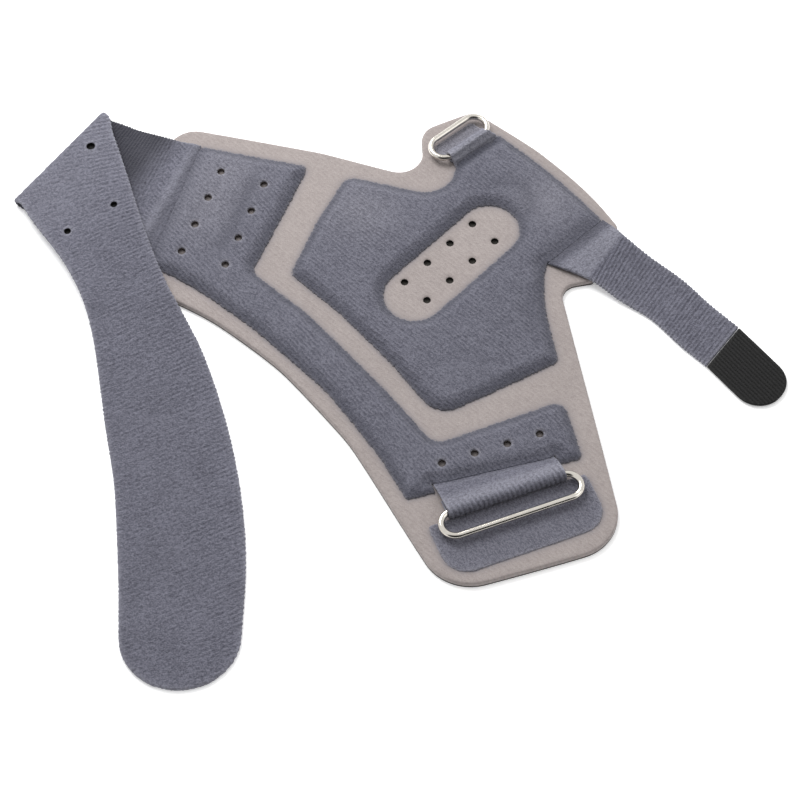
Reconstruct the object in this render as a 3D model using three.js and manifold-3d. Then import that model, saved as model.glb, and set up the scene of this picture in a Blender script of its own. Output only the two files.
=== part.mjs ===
// A wrist and thumb brace, laid open and flat. A soft pad carries raised panels, two cloth loops
// with metal rings, a short thumb strap with a hook tab, and a long wrist strap that folds over.
// Millimetres. X runs to the right, Y runs up the pad from the large ring to the small one, Z is up.

import * as THREE from 'three';
import { mergeVertices } from 'three/addons/utils/BufferGeometryUtils.js';
import Module from 'manifold-3d';

const wasm = await Module();
wasm.setup();

// The pad and what is pressed onto it
const padWidth = 180;
const padHeight = 207;
const liningThickness = 0.8;
const padThickness = 1.6;
const padEdgeRound = 0.7;
const panelThickness = 2.6;
const panelShoulder = 2.8;
const panelSoftness = 0.8;
const patchThickness = 1;
const patchEdgeRound = 0.5;
const seatGap = 0.3;

// The window in the palm panel and the air holes
const windowLength = 63.1;
const windowWidth = 22.4;
const windowTurn = 46.1;
const airHole = 2.9;
const windowHolePitch = 12.2;
const windowHoleRows = 11.4;
const wristHolePitch = 13;
const wristHoleRows = 17.4;
const wristHoleTurn = -20;
const footHolePitch = 12.3;
const footHoleTurn = 19.1;

// The rings and the cloth loops that hold them
const largeRingInside = 49.1;
const largeRingGap = 7.6;
const largeRingWire = 2.3;
const largeRingTurn = 21;
const smallRingInside = 22.7;
const smallRingGap = 7.7;
const smallRingWire = 2.2;
const smallRingTurn = 220;
const loopCloth = 1.1;
const ringPlay = 0.4;
const loopOverrun = 1.4;
const largeLoopBack = 13.5;
const largeLoopSkew = 0.64;
const smallLoopBack = 3.4;
const loopCornerRound = 0.2;

// The straps
const strapThickness = 1.6;
const wristStrapRun = 222;
const wristStrapSweep = 54;
const wristStrapWidth = 46;
const wristStrapEnd = 20.7;
const foldLength = 51.6;
const foldTurn = 53.5;
const strapHole = 3.4;
const strapHolePitch = 30.3;
const strapHoleRows = 20.3;
const strapHoleTurn = -123.2;
const strapHoleRowTurn = 160.8;
const thumbStrapLength = 69;
const thumbStrapWidth = 21.5;
const thumbStrapTurn = -43;
const tabLength = 29.4;
const tabThickness = 1.1;
const tabTurn = -51;
const tabTipRound = 0.92;
const tabOverhang = 0.9;
const tabEdgeRound = 0.3;
const tabCornerRound = 0.3;

// Levels above the surface that the brace lies on
const padTop = liningThickness + padThickness;
const panelTop = padTop + panelThickness;
const patchTop = padTop + patchThickness;

// Corners of each outline: shares of the pad's width and height, and a radius as a share of its width
const padCorners = {
  topLeft: { across: 0.058, up: 0.967, round: 0.06 },
  topMiddle: { across: 0.372, up: 0.906, round: 0.33 },
  neck: { across: 0.591, up: 0.845, round: 0.05 },
  ringLeft: { across: 0.583, up: 0.957, round: 0.044 },
  ringTip: { across: 0.697, up: 1.002, round: 0.033 },
  thumbTop: { across: 0.83, up: 0.911, round: 0.33 },
  thumbSide: { across: 0.934, up: 0.816, round: 0.4 },
  thumbCorner: { across: 0.993, up: 0.738, round: 0.022 },
  strapFoot: { across: 0.935, up: 0.62, round: 0.008 },
  notch: { across: 0.866, up: 0.608, round: 0.033 },
  footRight: { across: 0.978, up: 0.087, round: 0.1 },
  footLeft: { across: 0.627, up: -0.009, round: 0.1 },
  lowerWaist: { across: 0.437, up: 0.287, round: 0.33 },
  upperWaist: { across: 0.296, up: 0.438, round: 0.33 },
  wristSide: { across: 0.158, up: 0.539, round: 0.33 },
  wristCorner: { across: 0, up: 0.617, round: 0.033 },
  strapSide: { across: 0.014, up: 0.763, round: 0.33 },
};
const wristPanelCorners = {
  strapTop: { across: 0.121, up: 0.917, round: 0.006 },
  topRight: { across: 0.347, up: 0.872, round: 0.014 },
  innerLeft: { across: 0.236, up: 0.638, round: 0.017 },
  innerUpper: { across: 0.356, up: 0.544, round: 0.33 },
  innerLower: { across: 0.511, up: 0.388, round: 0.33 },
  elbow: { across: 0.607, up: 0.279, round: 0.036 },
  footTop: { across: 0.864, up: 0.368, round: 0.025 },
  footRight: { across: 0.899, up: 0.25, round: 0.014 },
  footLeft: { across: 0.552, up: 0.169, round: 0.006 },
  outerLower: { across: 0.5, up: 0.252, round: 0.33 },
  outerMiddle: { across: 0.392, up: 0.386, round: 0.33 },
  outerUpper: { across: 0.233, up: 0.524, round: 0.4 },
  outerLeft: { across: 0.106, up: 0.612, round: 0.33 },
  strapFoot: { across: 0.025, up: 0.65, round: 0.006 },
};
const palmPanelCorners = {
  left: { across: 0.314, up: 0.634, round: 0.022 },
  leftSide: { across: 0.365, up: 0.746, round: 0.33 },
  topLeft: { across: 0.427, up: 0.85, round: 0.028 },
  neck: { across: 0.651, up: 0.799, round: 0.069 },
  ringLeft: { across: 0.656, up: 0.872, round: 0.008 },
  ringRight: { across: 0.746, up: 0.946, round: 0.008 },
  thumbSide: { across: 0.856, up: 0.858, round: 0.67 },
  strapTop: { across: 0.959, up: 0.752, round: 0.008 },
  strapFoot: { across: 0.841, up: 0.655, round: 0.011 },
  notch: { across: 0.828, up: 0.594, round: 0.22 },
  lowerRight: { across: 0.858, up: 0.447, round: 0.019 },
  bottom: { across: 0.614, up: 0.334, round: 0.055 },
  lowerLeft: { across: 0.522, up: 0.443, round: 0.33 },
  leftWaist: { across: 0.422, up: 0.544, round: 0.33 },
};

// Centres of the patterns and rings, as shares of the pad's width and height
const windowCentre = { across: 0.6456, up: 0.6589 };
const windowHoleOffset = 1;
const wristHoleCentre = { across: 0.1719, up: 0.7515 };
const footHoleCentre = { across: 0.718, up: 0.2655 };
const largeRingCentre = { across: 0.7555, up: 0.1535 };
const smallRingCentre = { across: 0.6635, up: 0.9313 };
const foldCentre = { across: -0.173, up: 0.891 };

// The two named holes of the wrist strap, as shares of the fold's length from its middle
const strapHolePlaces = {
  first: { along: 0.19, out: -0.116 },
  nose: { along: -0.19, out: 0 },
};

// The end patch, in the large ring's frame: shares of the ring's inner length, from its middle
const endPatchCorners = {
  topLeft: { along: -0.615, ahead: 0, round: 0.03 },
  bottomLeft: { along: -0.605, ahead: 0.42, round: 0.19 },
  bottomRight: { along: 0.615, ahead: 0.415, round: 0.19 },
  topRight: { along: 0.61, ahead: 0, round: 0.03 },
};
const ringPatchCorners = {
  topLeft: { along: -0.46, ahead: 0, round: 0.03 },
  bottomLeft: { along: -0.42, ahead: 0.26, round: 0.1 },
  bottomRight: { along: 0.42, ahead: 0.26, round: 0.1 },
  topRight: { along: 0.46, ahead: 0, round: 0.03 },
};

// Sections of the wrist strap from its fold to where its round end starts. Their middles are shares
// of the run and the sweep, and the width is a share of the strap's width. The lifts of the two edges
// are shares of the height at which the strap crosses the wrist panel.
const wristStrapSections = [
  { along: 0, side: 0, turn: foldTurn, width: foldLength / wristStrapWidth, left: 0.5, right: 0.5 },
  { along: 0.082, side: 0.158, turn: 51.5, width: 0.97, left: 0.58, right: 0.85 },
  { along: 0.158, side: 0.298, turn: 45.8, width: 0.8, left: 0.65, right: 1 },
  { along: 0.235, side: 0.426, turn: 43, width: 0.72, left: 0.65, right: 1 },
  { along: 0.317, side: 0.545, turn: 37.8, width: 0.73, left: 0.5, right: 0.92 },
  { along: 0.42, side: 0.697, turn: 23.3, width: 0.841, left: 0.25, right: 0.55 },
  { along: 0.519, side: 0.808, turn: 11.6, width: 0.917, left: 0.06, right: 0.2 },
  { along: 0.625, side: 0.903, turn: 5.8, width: 0.95, left: 0, right: 0 },
  { along: 0.739, side: 0.959, turn: 3.3, width: 0.97, left: 0, right: 0 },
  { along: 0.815, side: 0.978, turn: 2.6, width: 0.955, left: 0, right: 0 },
  { along: 0.885, side: 0.981, turn: 1.3, width: 0.925, left: 0, right: 0 },
  { along: 0.909, side: 0.982, turn: 0, width: 0.915, left: 0, right: 0 },
];

// The wrist strap under its fold: shares of the way from the wrist panel to the fold. The upper edge
// leaves the straight way by the pull, a share of the fold's length, and the lift is a share of the
// height at which the strap lies on the pad.
const underStrapSections = [
  { way: 0, pull: 0, lift: 1 },
  { way: 0.2, pull: 0.03, lift: 1 },
  { way: 0.32, pull: 0.035, lift: 1 },
  { way: 0.45, pull: 0.035, lift: 0.75 },
  { way: 0.6, pull: 0.03, lift: 0.35 },
  { way: 0.8, pull: 0.015, lift: 0.05 },
  { way: 1, pull: 0, lift: 0 },
];

// Sections of the thumb strap: middles as shares of its length and width, the turn in degrees from
// square, the width a share of the strap's, and the lift a share of the pad's top.
const thumbStrapSections = [
  { along: 0.18, side: 0.116, turn: 16.8, width: 1.15, lift: 1 },
  { along: 0.387, side: 0.153, turn: 11.6, width: 1.06, lift: 0.3 },
  { along: 0.583, side: 0.214, turn: 9, width: 1, lift: 0 },
  { along: 0.81, side: 0.14, turn: 9.2, width: 1, lift: 0 },
  { along: 1, side: 0.116, turn: 5.8, width: 0.98, lift: 0 },
];

const radians = THREE.MathUtils.degToRad;
const upward = new THREE.Vector3(0, 0, 1);

const materials = {
  lining: { color: 0x3c3b37, roughness: 0.9, metalness: 0 },
  beigeKnit: { color: 0xbeb2ac, roughness: 0.9, metalness: 0 },
  greyKnit: { color: 0x787a84, roughness: 0.95, metalness: 0 },
  greyStrap: { color: 0x7a7d88, roughness: 0.95, metalness: 0 },
  hookTape: { color: 0x20211e, roughness: 0.7, metalness: 0 },
  nickel: { color: 0xcfccc6, roughness: 0.15, metalness: 1 },
};

const brace = new THREE.Group();

function addPiece(name, look, solid) {
  const mesh = new THREE.Mesh(toGeometry(solid), new THREE.MeshStandardMaterial(materials[look]));
  mesh.name = name;
  brace.add(mesh);
}

function toSolid(geometry) {
  geometry.deleteAttribute('normal');
  geometry.deleteAttribute('uv');
  const merged = mergeVertices(geometry);
  const vertProperties = Float32Array.from(merged.attributes.position.array);
  const triVerts = Uint32Array.from(merged.index.array);
  return new wasm.Manifold(new wasm.Mesh({ numProp: 3, vertProperties, triVerts }));
}

function toGeometry(solid) {
  const { vertProperties, triVerts } = solid.getMesh();
  const geometry = new THREE.BufferGeometry();
  geometry.setAttribute('position', new THREE.BufferAttribute(vertProperties, 3));
  geometry.setIndex(new THREE.BufferAttribute(triVerts, 1));
  geometry.computeVertexNormals();
  return geometry;
}

function place({ across, up }) {
  return new THREE.Vector2(across * padWidth, up * padHeight);
}

function direction(degrees) {
  return new THREE.Vector2(Math.cos(radians(degrees)), Math.sin(radians(degrees)));
}

// A closed outline through corner points, each with an arc of its own radius. Where two arcs would
// meet on a side, both are shortened to fit it.
function roundedOutline(corners) {
  const arcStep = radians(16);
  const mostOfSide = 0.98;
  const count = corners.length;
  const sides = corners.map(({ point, round }, i) => {
    const back = corners[(i + count - 1) % count].point.clone().sub(point);
    const on = corners[(i + 1) % count].point.clone().sub(point);
    const halfAngle = Math.acos(back.clone().normalize().dot(on.clone().normalize())) / 2;
    return { back, on, halfAngle, reach: round / Math.tan(halfAngle) };
  });
  const points = [];
  sides.forEach(({ back, on, halfAngle, reach }, i) => {
    const reachBefore = sides[(i + count - 1) % count].reach;
    const reachAfter = sides[(i + 1) % count].reach;
    const fitBack = back.length() / (reach + reachBefore);
    const fitOn = on.length() / (reach + reachAfter);
    const fitted = reach * Math.min(1, mostOfSide * fitBack, mostOfSide * fitOn);
    const toBack = back.clone().normalize();
    const toOn = on.clone().normalize();
    const radius = fitted * Math.tan(halfAngle);
    const middle = toBack.clone().add(toOn).normalize().multiplyScalar(radius / Math.sin(halfAngle));
    middle.add(corners[i].point);
    const first = toBack.multiplyScalar(fitted).add(corners[i].point).sub(middle);
    const turn = Math.PI - 2 * halfAngle;
    const way = Math.sign(back.cross(on)) * -1;
    const steps = Math.max(1, Math.round(turn / arcStep));
    for (let k = 0; k <= steps; k += 1) {
      const spoke = first.clone().rotateAround(new THREE.Vector2(), (way * turn * k) / steps);
      points.push(spoke.add(middle));
    }
  });
  return points;
}

function cornersOf(table) {
  return Object.values(table).map((row) => ({ point: place(row), round: row.round * padWidth }));
}

// The middles of a grid of holes, in columns along the turned direction
function holeGrid(centre, turn, pitch, columns, rowGap, rows) {
  const along = direction(turn);
  const square = direction(turn + 90);
  const spots = [];
  for (let row = 0; row < rows; row += 1) {
    for (let column = 0; column < columns; column += 1) {
      const spot = centre.clone();
      spot.addScaledVector(along, (column - (columns - 1) / 2) * pitch);
      spot.addScaledVector(square, (row - (rows - 1) / 2) * rowGap);
      spots.push(spot);
    }
  }
  return spots;
}

// Corners moved inward, so that outlines at different levels keep the same count of points
function insetCorners(corners, inset) {
  const smallest = 0.15;
  const count = corners.length;
  const turning = Math.sign(THREE.ShapeUtils.area(corners.map((corner) => corner.point)));
  return corners.map(({ point, round }, i) => {
    const back = corners[(i + count - 1) % count].point.clone().sub(point).normalize();
    const on = corners[(i + 1) % count].point.clone().sub(point).normalize();
    const halfAngle = Math.acos(back.dot(on)) / 2;
    const convex = Math.sign(on.cross(back)) * turning;
    const shift = back.add(on).normalize().multiplyScalar((convex * inset) / Math.sin(halfAngle));
    return { point: point.clone().add(shift), round: Math.max(smallest, round - convex * inset) };
  });
}

// Steps of a rounded upper edge: how far in each lies and how high
function roundedEdge(top, drop, reach) {
  const parts = 4;
  return Array.from({ length: parts + 1 }, (_, k) => {
    const angle = (Math.PI / 2) * (k / parts);
    return { inset: reach * (1 - Math.cos(angle)), height: top - drop * (1 - Math.sin(angle)) };
  });
}

// A flat layer between two levels, whose upper edge is rounded by a given drop and reach
function layer(corners, bottom, top, drop, reach) {
  const upperSteps = drop > 0 ? roundedEdge(top, drop, reach) : [{ inset: 0, height: top }];
  return stackSteps(corners, [{ inset: 0, height: bottom }, ...upperSteps]);
}

function stackSteps(corners, steps) {
  const outlines = steps.map(({ inset }) => roundedOutline(insetCorners(corners, inset)));
  return stack(outlines, steps.map(({ height }) => height));
}

// Outlines of equal counts of points, one above the other
function stack(outlines, heights) {
  const turning = THREE.ShapeUtils.area(outlines[0]) > 0;
  const ordered = outlines.map((outline) => (turning ? [...outline] : [...outline].reverse()));
  const rings = ordered.map((outline, i) => outline.map((point) => lifted(point, heights[i])));
  const ends = [ordered[0], ordered[ordered.length - 1]];
  return skin(rings, ends.map((end) => THREE.ShapeUtils.triangulateShape(end, [])));
}

function punch(solid, spots, diameter, bottom, top) {
  return spots.reduce((rest, spot) => rest.subtract(drill(spot, diameter, bottom, top)), solid);
}

function drill(spot, diameter, bottom, top) {
  const cylinder = drillBit(diameter, top - bottom);
  cylinder.rotateX(Math.PI / 2);
  cylinder.translate(spot.x, spot.y, (top + bottom) / 2);
  return toSolid(cylinder);
}

function drillBit(diameter, length) {
  const sides = 10;
  return new THREE.CylinderGeometry(diameter / 2, diameter / 2, length, sides);
}

// A closed surface over rings of points that run anticlockwise, seen from the last one. Each ring
// has the same count of points. Two sets of faces close the ends, or the last ring joins the first.
function skin(rings, ends) {
  const around = rings[0].length;
  const positions = rings.flat().flatMap((point) => point.toArray());
  const index = [];
  const spans = ends ? rings.length - 1 : rings.length;
  for (let i = 0; i < spans; i += 1) {
    const next = (i + 1) % rings.length;
    for (let j = 0; j < around; j += 1) {
      const beside = (j + 1) % around;
      const low = [i * around + j, i * around + beside];
      const high = [next * around + j, next * around + beside];
      index.push(low[0], low[1], high[0], low[1], high[1], high[0]);
    }
  }
  if (ends) {
    const last = (rings.length - 1) * around;
    ends[0].forEach(([a, b, c]) => index.push(a, c, b));
    ends[1].forEach(([a, b, c]) => index.push(last + a, last + b, last + c));
  }
  const geometry = new THREE.BufferGeometry();
  geometry.setAttribute('position', new THREE.Float32BufferAttribute(positions, 3));
  geometry.setIndex(index);
  return toSolid(geometry);
}

// A band of cloth through stations, each with two edge points and the way its outer face looks
function band(stations, thickness) {
  const parts = 3;
  const shares = Array.from({ length: parts + 1 }, (_, k) => k / parts);
  const rings = stations.map(({ left, right, face }) => {
    const offset = face.clone().multiplyScalar(thickness / 2);
    const middles = shares.map((share) => left.clone().lerp(right, share));
    const outer = middles.map((point) => point.clone().add(offset));
    const inner = middles.map((point) => point.clone().sub(offset)).reverse();
    return [...outer, ...inner];
  });
  const faces = [];
  for (let k = 0; k < parts; k += 1) {
    const under = 2 * parts + 1 - k;
    faces.push([k, k + 1, under], [k + 1, under - 1, under]);
  }
  return skin(rings, [faces, faces]);
}

function lifted(point, height) {
  return new THREE.Vector3(point.x, point.y, height);
}

// The two edge points of a section, half its width to either side along the turned direction
function sectionEdges(middle, turn, width) {
  const half = direction(turn).multiplyScalar(width / 2);
  return [middle.clone().sub(half), middle.clone().add(half)];
}

const padOutline = cornersOf(padCorners);
const windowSpot = place(windowCentre);
const windowHoleSpot = direction(windowTurn + 90).multiplyScalar(windowHoleOffset).add(windowSpot);
const windowHoles = holeGrid(windowHoleSpot, windowTurn, windowHolePitch, 4, windowHoleRows, 2);
const wristHoles = holeGrid(place(wristHoleCentre), wristHoleTurn, wristHoleRows, 2, wristHolePitch, 4);
const footHoles = holeGrid(place(footHoleCentre), footHoleTurn, footHolePitch, 4, 0, 1);
const airHoles = [...windowHoles, ...wristHoles, ...footHoles];

function punchedLayer(corners, spots, bottom, top, drop, reach) {
  const solid = layer(corners, bottom, top, drop, reach);
  return punch(solid, spots, airHole, bottom - seatGap, top + seatGap);
}

addPiece('lining', 'lining', punchedLayer(padOutline, airHoles, 0, liningThickness, 0, 0));
const pad = punchedLayer(padOutline, airHoles, liningThickness, padTop, padEdgeRound, padEdgeRound);
addPiece('base_pad', 'beigeKnit', pad);

// A ring lies with one long side inside its loop and the other ahead of it, towards the pad's edge.
// Its frame runs along the long sides and ahead, square to them.
function ringFrame({ centre, turn, inside, gap, wire, back }) {
  const along = direction(turn);
  const ahead = direction(turn - 90);
  const spacing = gap + wire;
  const noseRadius = wire / 2 + ringPlay + loopCloth;
  const height = padTop + noseRadius;
  const barMiddle = centre.clone().addScaledVector(ahead, -spacing / 2);
  const halfStraight = (inside - gap) / 2;
  const halfLoop = halfStraight + loopOverrun;
  const shape = { inside, wire, back, spacing, noseRadius, halfStraight, halfLoop };
  return { centre, along, ahead, height, barMiddle, ...shape };
}

function inFrame({ barMiddle, along, ahead }, alongShift, aheadShift) {
  return barMiddle.clone().addScaledVector(along, alongShift).addScaledVector(ahead, aheadShift);
}

function ringWire({ centre, along, ahead, wire, spacing, height, halfStraight }) {
  const sides = 10;
  const arcParts = 10;
  const rings = [];
  for (const end of [1, -1]) {
    for (let k = 0; k <= arcParts; k += 1) {
      const angle = Math.PI * (k / arcParts - 0.5);
      const out = along.clone().multiplyScalar(end * Math.cos(angle));
      out.addScaledVector(ahead, end * Math.sin(angle));
      const middle = centre.clone().addScaledVector(along, end * halfStraight);
      middle.addScaledVector(out, spacing / 2);
      const ring = Array.from({ length: sides }, (_, j) => {
        const turn = (2 * Math.PI * j) / sides;
        const point = middle.clone().addScaledVector(out, (Math.cos(turn) * wire) / 2);
        return lifted(point, height + (Math.sin(turn) * wire) / 2);
      });
      rings.push(ring);
    }
  }
  return skin(rings, null);
}

// The loop seen from above, grown by a gap all round: the room ahead of its nose, and its back edge
// on the panel, which may lie further back at one end than at the other
function loopCorners(frame, grow) {
  const nose = frame.noseRadius + seatGap;
  const half = frame.halfLoop + grow;
  const spots = [
    [-half, nose],
    [-half, -frame.back.left - grow],
    [half, -frame.back.right - grow],
    [half, nose],
  ];
  return spots.map(([along, ahead]) => (
    { point: inFrame(frame, along, ahead), round: loopCornerRound }));
}

// The cloth goes from the panel over the bar, round its nose and back along the pad
function clothLoop(frame) {
  const noseParts = 10;
  const deepest = Math.max(frame.back.left, frame.back.right) + seatGap;
  const section = [[-deepest, padTop]];
  for (let k = 0; k <= noseParts; k += 1) {
    const angle = Math.PI * (k / noseParts - 0.5);
    const ahead = Math.cos(angle) * frame.noseRadius;
    section.push([ahead, frame.height + Math.sin(angle) * frame.noseRadius]);
  }
  section.push([-deepest, padTop + loopCloth]);
  const outline = section.map(([ahead, height]) => new THREE.Vector2(ahead, height));
  const faces = THREE.ShapeUtils.triangulateShape(outline, []);
  const cutEnd = frame.halfLoop + seatGap;
  const rings = [cutEnd, -cutEnd].map((end) => section.map(([ahead, height]) => (
    lifted(inFrame(frame, end, ahead), height))));
  const cloth = skin(rings, [faces, faces]);
  const room = layer(loopCorners(frame, 0), padTop - seatGap, 2 * frame.height, 0, 0);
  return cloth.intersect(room).subtract(barRoom(frame));
}

function barRoom(frame) {
  const radius = frame.wire / 2 + ringPlay;
  const sides = 16;
  const bore = new THREE.CylinderGeometry(radius, radius, 2 * frame.inside, sides);
  bore.rotateZ(Math.atan2(frame.along.y, frame.along.x) - Math.PI / 2);
  bore.translate(frame.barMiddle.x, frame.barMiddle.y, frame.height);
  return toSolid(bore);
}

const largeFrame = ringFrame({
  centre: place(largeRingCentre),
  turn: largeRingTurn,
  inside: largeRingInside,
  gap: largeRingGap,
  wire: largeRingWire,
  back: { left: largeLoopBack, right: largeLoopBack * largeLoopSkew },
});
const smallFrame = ringFrame({
  centre: place(smallRingCentre),
  turn: smallRingTurn,
  inside: smallRingInside,
  gap: smallRingGap,
  wire: smallRingWire,
  back: { left: smallLoopBack, right: smallLoopBack },
});

function loopRoom(frame) {
  return layer(loopCorners(frame, seatGap), padTop - seatGap, 2 * frame.height, 0, 0);
}

// A raised panel with soft shoulders down to the pad
const shoulderDrop = panelThickness * panelSoftness;

function paddedPanel(corners) {
  return layer(corners, padTop, panelTop, shoulderDrop, panelShoulder);
}

const panelHoles = [...wristHoles, ...footHoles];
const wristPanelFull = paddedPanel(cornersOf(wristPanelCorners)).subtract(loopRoom(largeFrame));
const wristPanel = punch(wristPanelFull, panelHoles, airHole, padTop - seatGap, panelTop + seatGap);
addPiece('wrist_panel', 'greyKnit', wristPanel);

// The window is a stadium: four corners rounded by nearly half its width. It widens upwards with the
// panel's shoulder.
function windowRoom() {
  const nearHalf = 0.49;
  const along = direction(windowTurn).multiplyScalar(windowLength / 2);
  const square = direction(windowTurn + 90).multiplyScalar(windowWidth / 2);
  const corners = [[1, 1], [-1, 1], [-1, -1], [1, -1]].map(([alongShare, squareShare]) => {
    const point = windowSpot.clone().addScaledVector(along, alongShare);
    point.addScaledVector(square, squareShare);
    return { point, round: windowWidth * nearHalf };
  });
  return stackSteps(corners, [
    { inset: 0, height: padTop - seatGap },
    ...roundedEdge(panelTop, shoulderDrop, -panelShoulder),
    { inset: -panelShoulder, height: panelTop + seatGap },
  ]);
}

const palmPanelFull = paddedPanel(cornersOf(palmPanelCorners)).subtract(windowRoom());
addPiece('palm_panel', 'greyKnit', palmPanelFull.subtract(loopRoom(smallFrame)));

addPiece('large_ring_loop', 'greyStrap', clothLoop(largeFrame));
addPiece('small_ring_loop', 'greyStrap', clothLoop(smallFrame));
addPiece('large_ring', 'nickel', ringWire(largeFrame));
addPiece('small_ring', 'nickel', ringWire(smallFrame));

// A thin patch on the pad, starting just ahead of a loop's nose and lying under its ring
function patch(frame, table) {
  const start = frame.noseRadius + seatGap;
  const corners = Object.values(table).map(({ along, ahead, round }) => ({
    point: inFrame(frame, along * frame.inside, start + ahead * frame.inside),
    round: round * frame.inside,
  }));
  return layer(corners, padTop, patchTop, patchEdgeRound, patchEdgeRound);
}
addPiece('end_patch', 'greyKnit', patch(largeFrame, endPatchCorners));
addPiece('ring_patch', 'greyKnit', patch(smallFrame, ringPatchCorners));

// The wrist strap starts at the panel's left edge, runs under its own fold and comes back on top
const groundHeight = strapThickness / 2;
const crossingHeight = panelTop + seatGap + strapThickness / 2;
const rootHeight = padTop + seatGap + strapThickness / 2;
const foldSpot = place(foldCentre);
const foldAlong = direction(foldTurn);
const foldOut = direction(foldTurn + 90);

const foldHeight = THREE.MathUtils.lerp(groundHeight, crossingHeight, wristStrapSections[0].left);

// Stations along two edges that run smoothly through the sections and never dip below the surface
function smoothStations(rows, steps) {
  const sides = [0, 1].map((side) => new THREE.CatmullRomCurve3(rows.map((row) => row[side])));
  const count = steps * (rows.length - 1);
  return Array.from({ length: count + 1 }, (_, k) => {
    const [left, right] = sides.map((side) => side.getPoint(k / count));
    [left, right].forEach((edge) => edge.setZ(Math.max(edge.z, groundHeight)));
    return { left, right, face: upward };
  });
}

function upperStations() {
  const rows = wristStrapSections.map((row) => {
    const shift = new THREE.Vector2(row.side * wristStrapSweep, -row.along * wristStrapRun);
    const edges = sectionEdges(foldSpot.clone().add(shift), row.turn, row.width * wristStrapWidth);
    const heights = [row.left, row.right].map((lift) => (
      THREE.MathUtils.lerp(groundHeight, crossingHeight, lift)));
    return edges.map((edge, side) => lifted(edge, heights[side]));
  });
  return smoothStations(rows, 2);
}

function roundEndStations(start) {
  const parts = 6;
  const shortOfTip = 0.4;
  const middle = start.left.clone().lerp(start.right, 0.5);
  return Array.from({ length: parts }, (_, k) => {
    const angle = (Math.PI / 2) * ((k + 1) / (parts + shortOfTip));
    const shift = new THREE.Vector3(0, -wristStrapEnd * Math.sin(angle), 0);
    const narrowing = 1 - Math.cos(angle);
    return {
      left: start.left.clone().lerp(middle, narrowing).add(shift),
      right: start.right.clone().lerp(middle, narrowing).add(shift),
      face: upward,
    };
  });
}

function foldStations(start) {
  const parts = 8;
  const radius = (foldHeight - groundHeight) / 2;
  return Array.from({ length: parts - 1 }, (_, k) => {
    const angle = Math.PI * (0.5 - (k + 1) / parts);
    const face = lifted(foldOut.clone().multiplyScalar(Math.cos(angle)), Math.sin(angle));
    const shift = face.clone().multiplyScalar(radius).setZ(radius * (Math.sin(angle) - 1));
    return { left: start.left.clone().add(shift), right: start.right.clone().add(shift), face };
  });
}

function underStations(start) {
  const clear = direction(180).multiplyScalar(seatGap);
  const rootRight = lifted(place(wristPanelCorners.strapTop).add(clear), rootHeight);
  const rootLeft = lifted(place(wristPanelCorners.strapFoot).add(clear), rootHeight);
  return [...underStrapSections].reverse().map(({ way, pull, lift }) => {
    const height = THREE.MathUtils.lerp(groundHeight, rootHeight, lift);
    const sag = lifted(foldAlong.clone().multiplyScalar(-pull * foldLength), 0);
    return {
      left: rootLeft.clone().lerp(start.left, way).setZ(height),
      right: rootRight.clone().lerp(start.right, way).add(sag).setZ(height),
      face: upward.clone().negate(),
    };
  });
}

const upper = upperStations();
const foldStart = upper[0];
const roundEnd = roundEndStations(upper[upper.length - 1]).reverse();
const wristStations = [...roundEnd, ...[...upper].reverse(), ...foldStations(foldStart)];
wristStations.push(...underStations(foldStart));

// The height of the strap's upper layer at a spot, from the station that passes nearest to it
function upperHeight(spot) {
  const nearest = upper.map(({ left, right }) => {
    const edges = new THREE.Line3(left, right);
    const point = edges.closestPointToPoint(lifted(spot, left.z), true, new THREE.Vector3());
    return { height: point.z, away: Math.hypot(point.x - spot.x, point.y - spot.y) };
  });
  return nearest.reduce((best, other) => (other.away < best.away ? other : best)).height;
}

function foldPlace({ along, out }) {
  const spot = foldSpot.clone().addScaledVector(foldAlong, along * foldLength);
  return spot.addScaledVector(foldOut, out * foldLength);
}

// Four holes in two rows: three open upwards beside the fold, and the last sits on the fold's nose
function strapHoleDrills() {
  const first = foldPlace(strapHolePlaces.first);
  const downStrap = direction(foldTurn + strapHoleTurn).multiplyScalar(strapHolePitch);
  const acrossStrap = direction(foldTurn + strapHoleRowTurn).multiplyScalar(strapHoleRows);
  const second = first.clone().add(downStrap);
  const third = second.clone().add(acrossStrap);
  const reach = strapThickness / 2 + seatGap;
  const open = [first, second, third].map((spot) => {
    const height = upperHeight(spot);
    return drill(spot, strapHole, height - reach, height + reach);
  });
  const nose = foldPlace(strapHolePlaces.nose);
  const noseDrill = drillBit(strapHole, 2 * foldHeight);
  noseDrill.translate(0, foldHeight + reach, 0);
  noseDrill.rotateZ(radians(foldTurn));
  noseDrill.translate(nose.x, nose.y, (foldHeight + groundHeight) / 2);
  return [...open, toSolid(noseDrill)];
}

const wristBand = band(wristStations, strapThickness);
const wristStrap = strapHoleDrills().reduce((strap, hole) => strap.subtract(hole), wristBand);
addPiece('wrist_strap', 'greyStrap', wristStrap);

// The thumb strap starts at the palm panel and reaches under the hook tab to its tip
const thumbAlong = direction(thumbStrapTurn);
const thumbSide = direction(thumbStrapTurn + 90);

function thumbStations() {
  const clear = thumbAlong.clone().multiplyScalar(seatGap);
  const top = place(palmPanelCorners.strapTop).add(clear);
  const foot = place(palmPanelCorners.strapFoot).add(clear);
  const root = top.clone().add(foot).multiplyScalar(0.5);
  const rows = [[foot, top].map((edge) => lifted(edge, rootHeight))];
  thumbStrapSections.forEach((row) => {
    const middle = root.clone().addScaledVector(thumbAlong, row.along * thumbStrapLength);
    middle.addScaledVector(thumbSide, row.side * thumbStrapWidth);
    const edges = sectionEdges(middle, thumbStrapTurn + 90 + row.turn, row.width * thumbStrapWidth);
    const height = THREE.MathUtils.lerp(groundHeight, rootHeight, row.lift);
    rows.push(edges.map((edge) => lifted(edge, height)));
  });
  return smoothStations(rows, 3);
}

const thumbBand = thumbStations();

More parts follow.
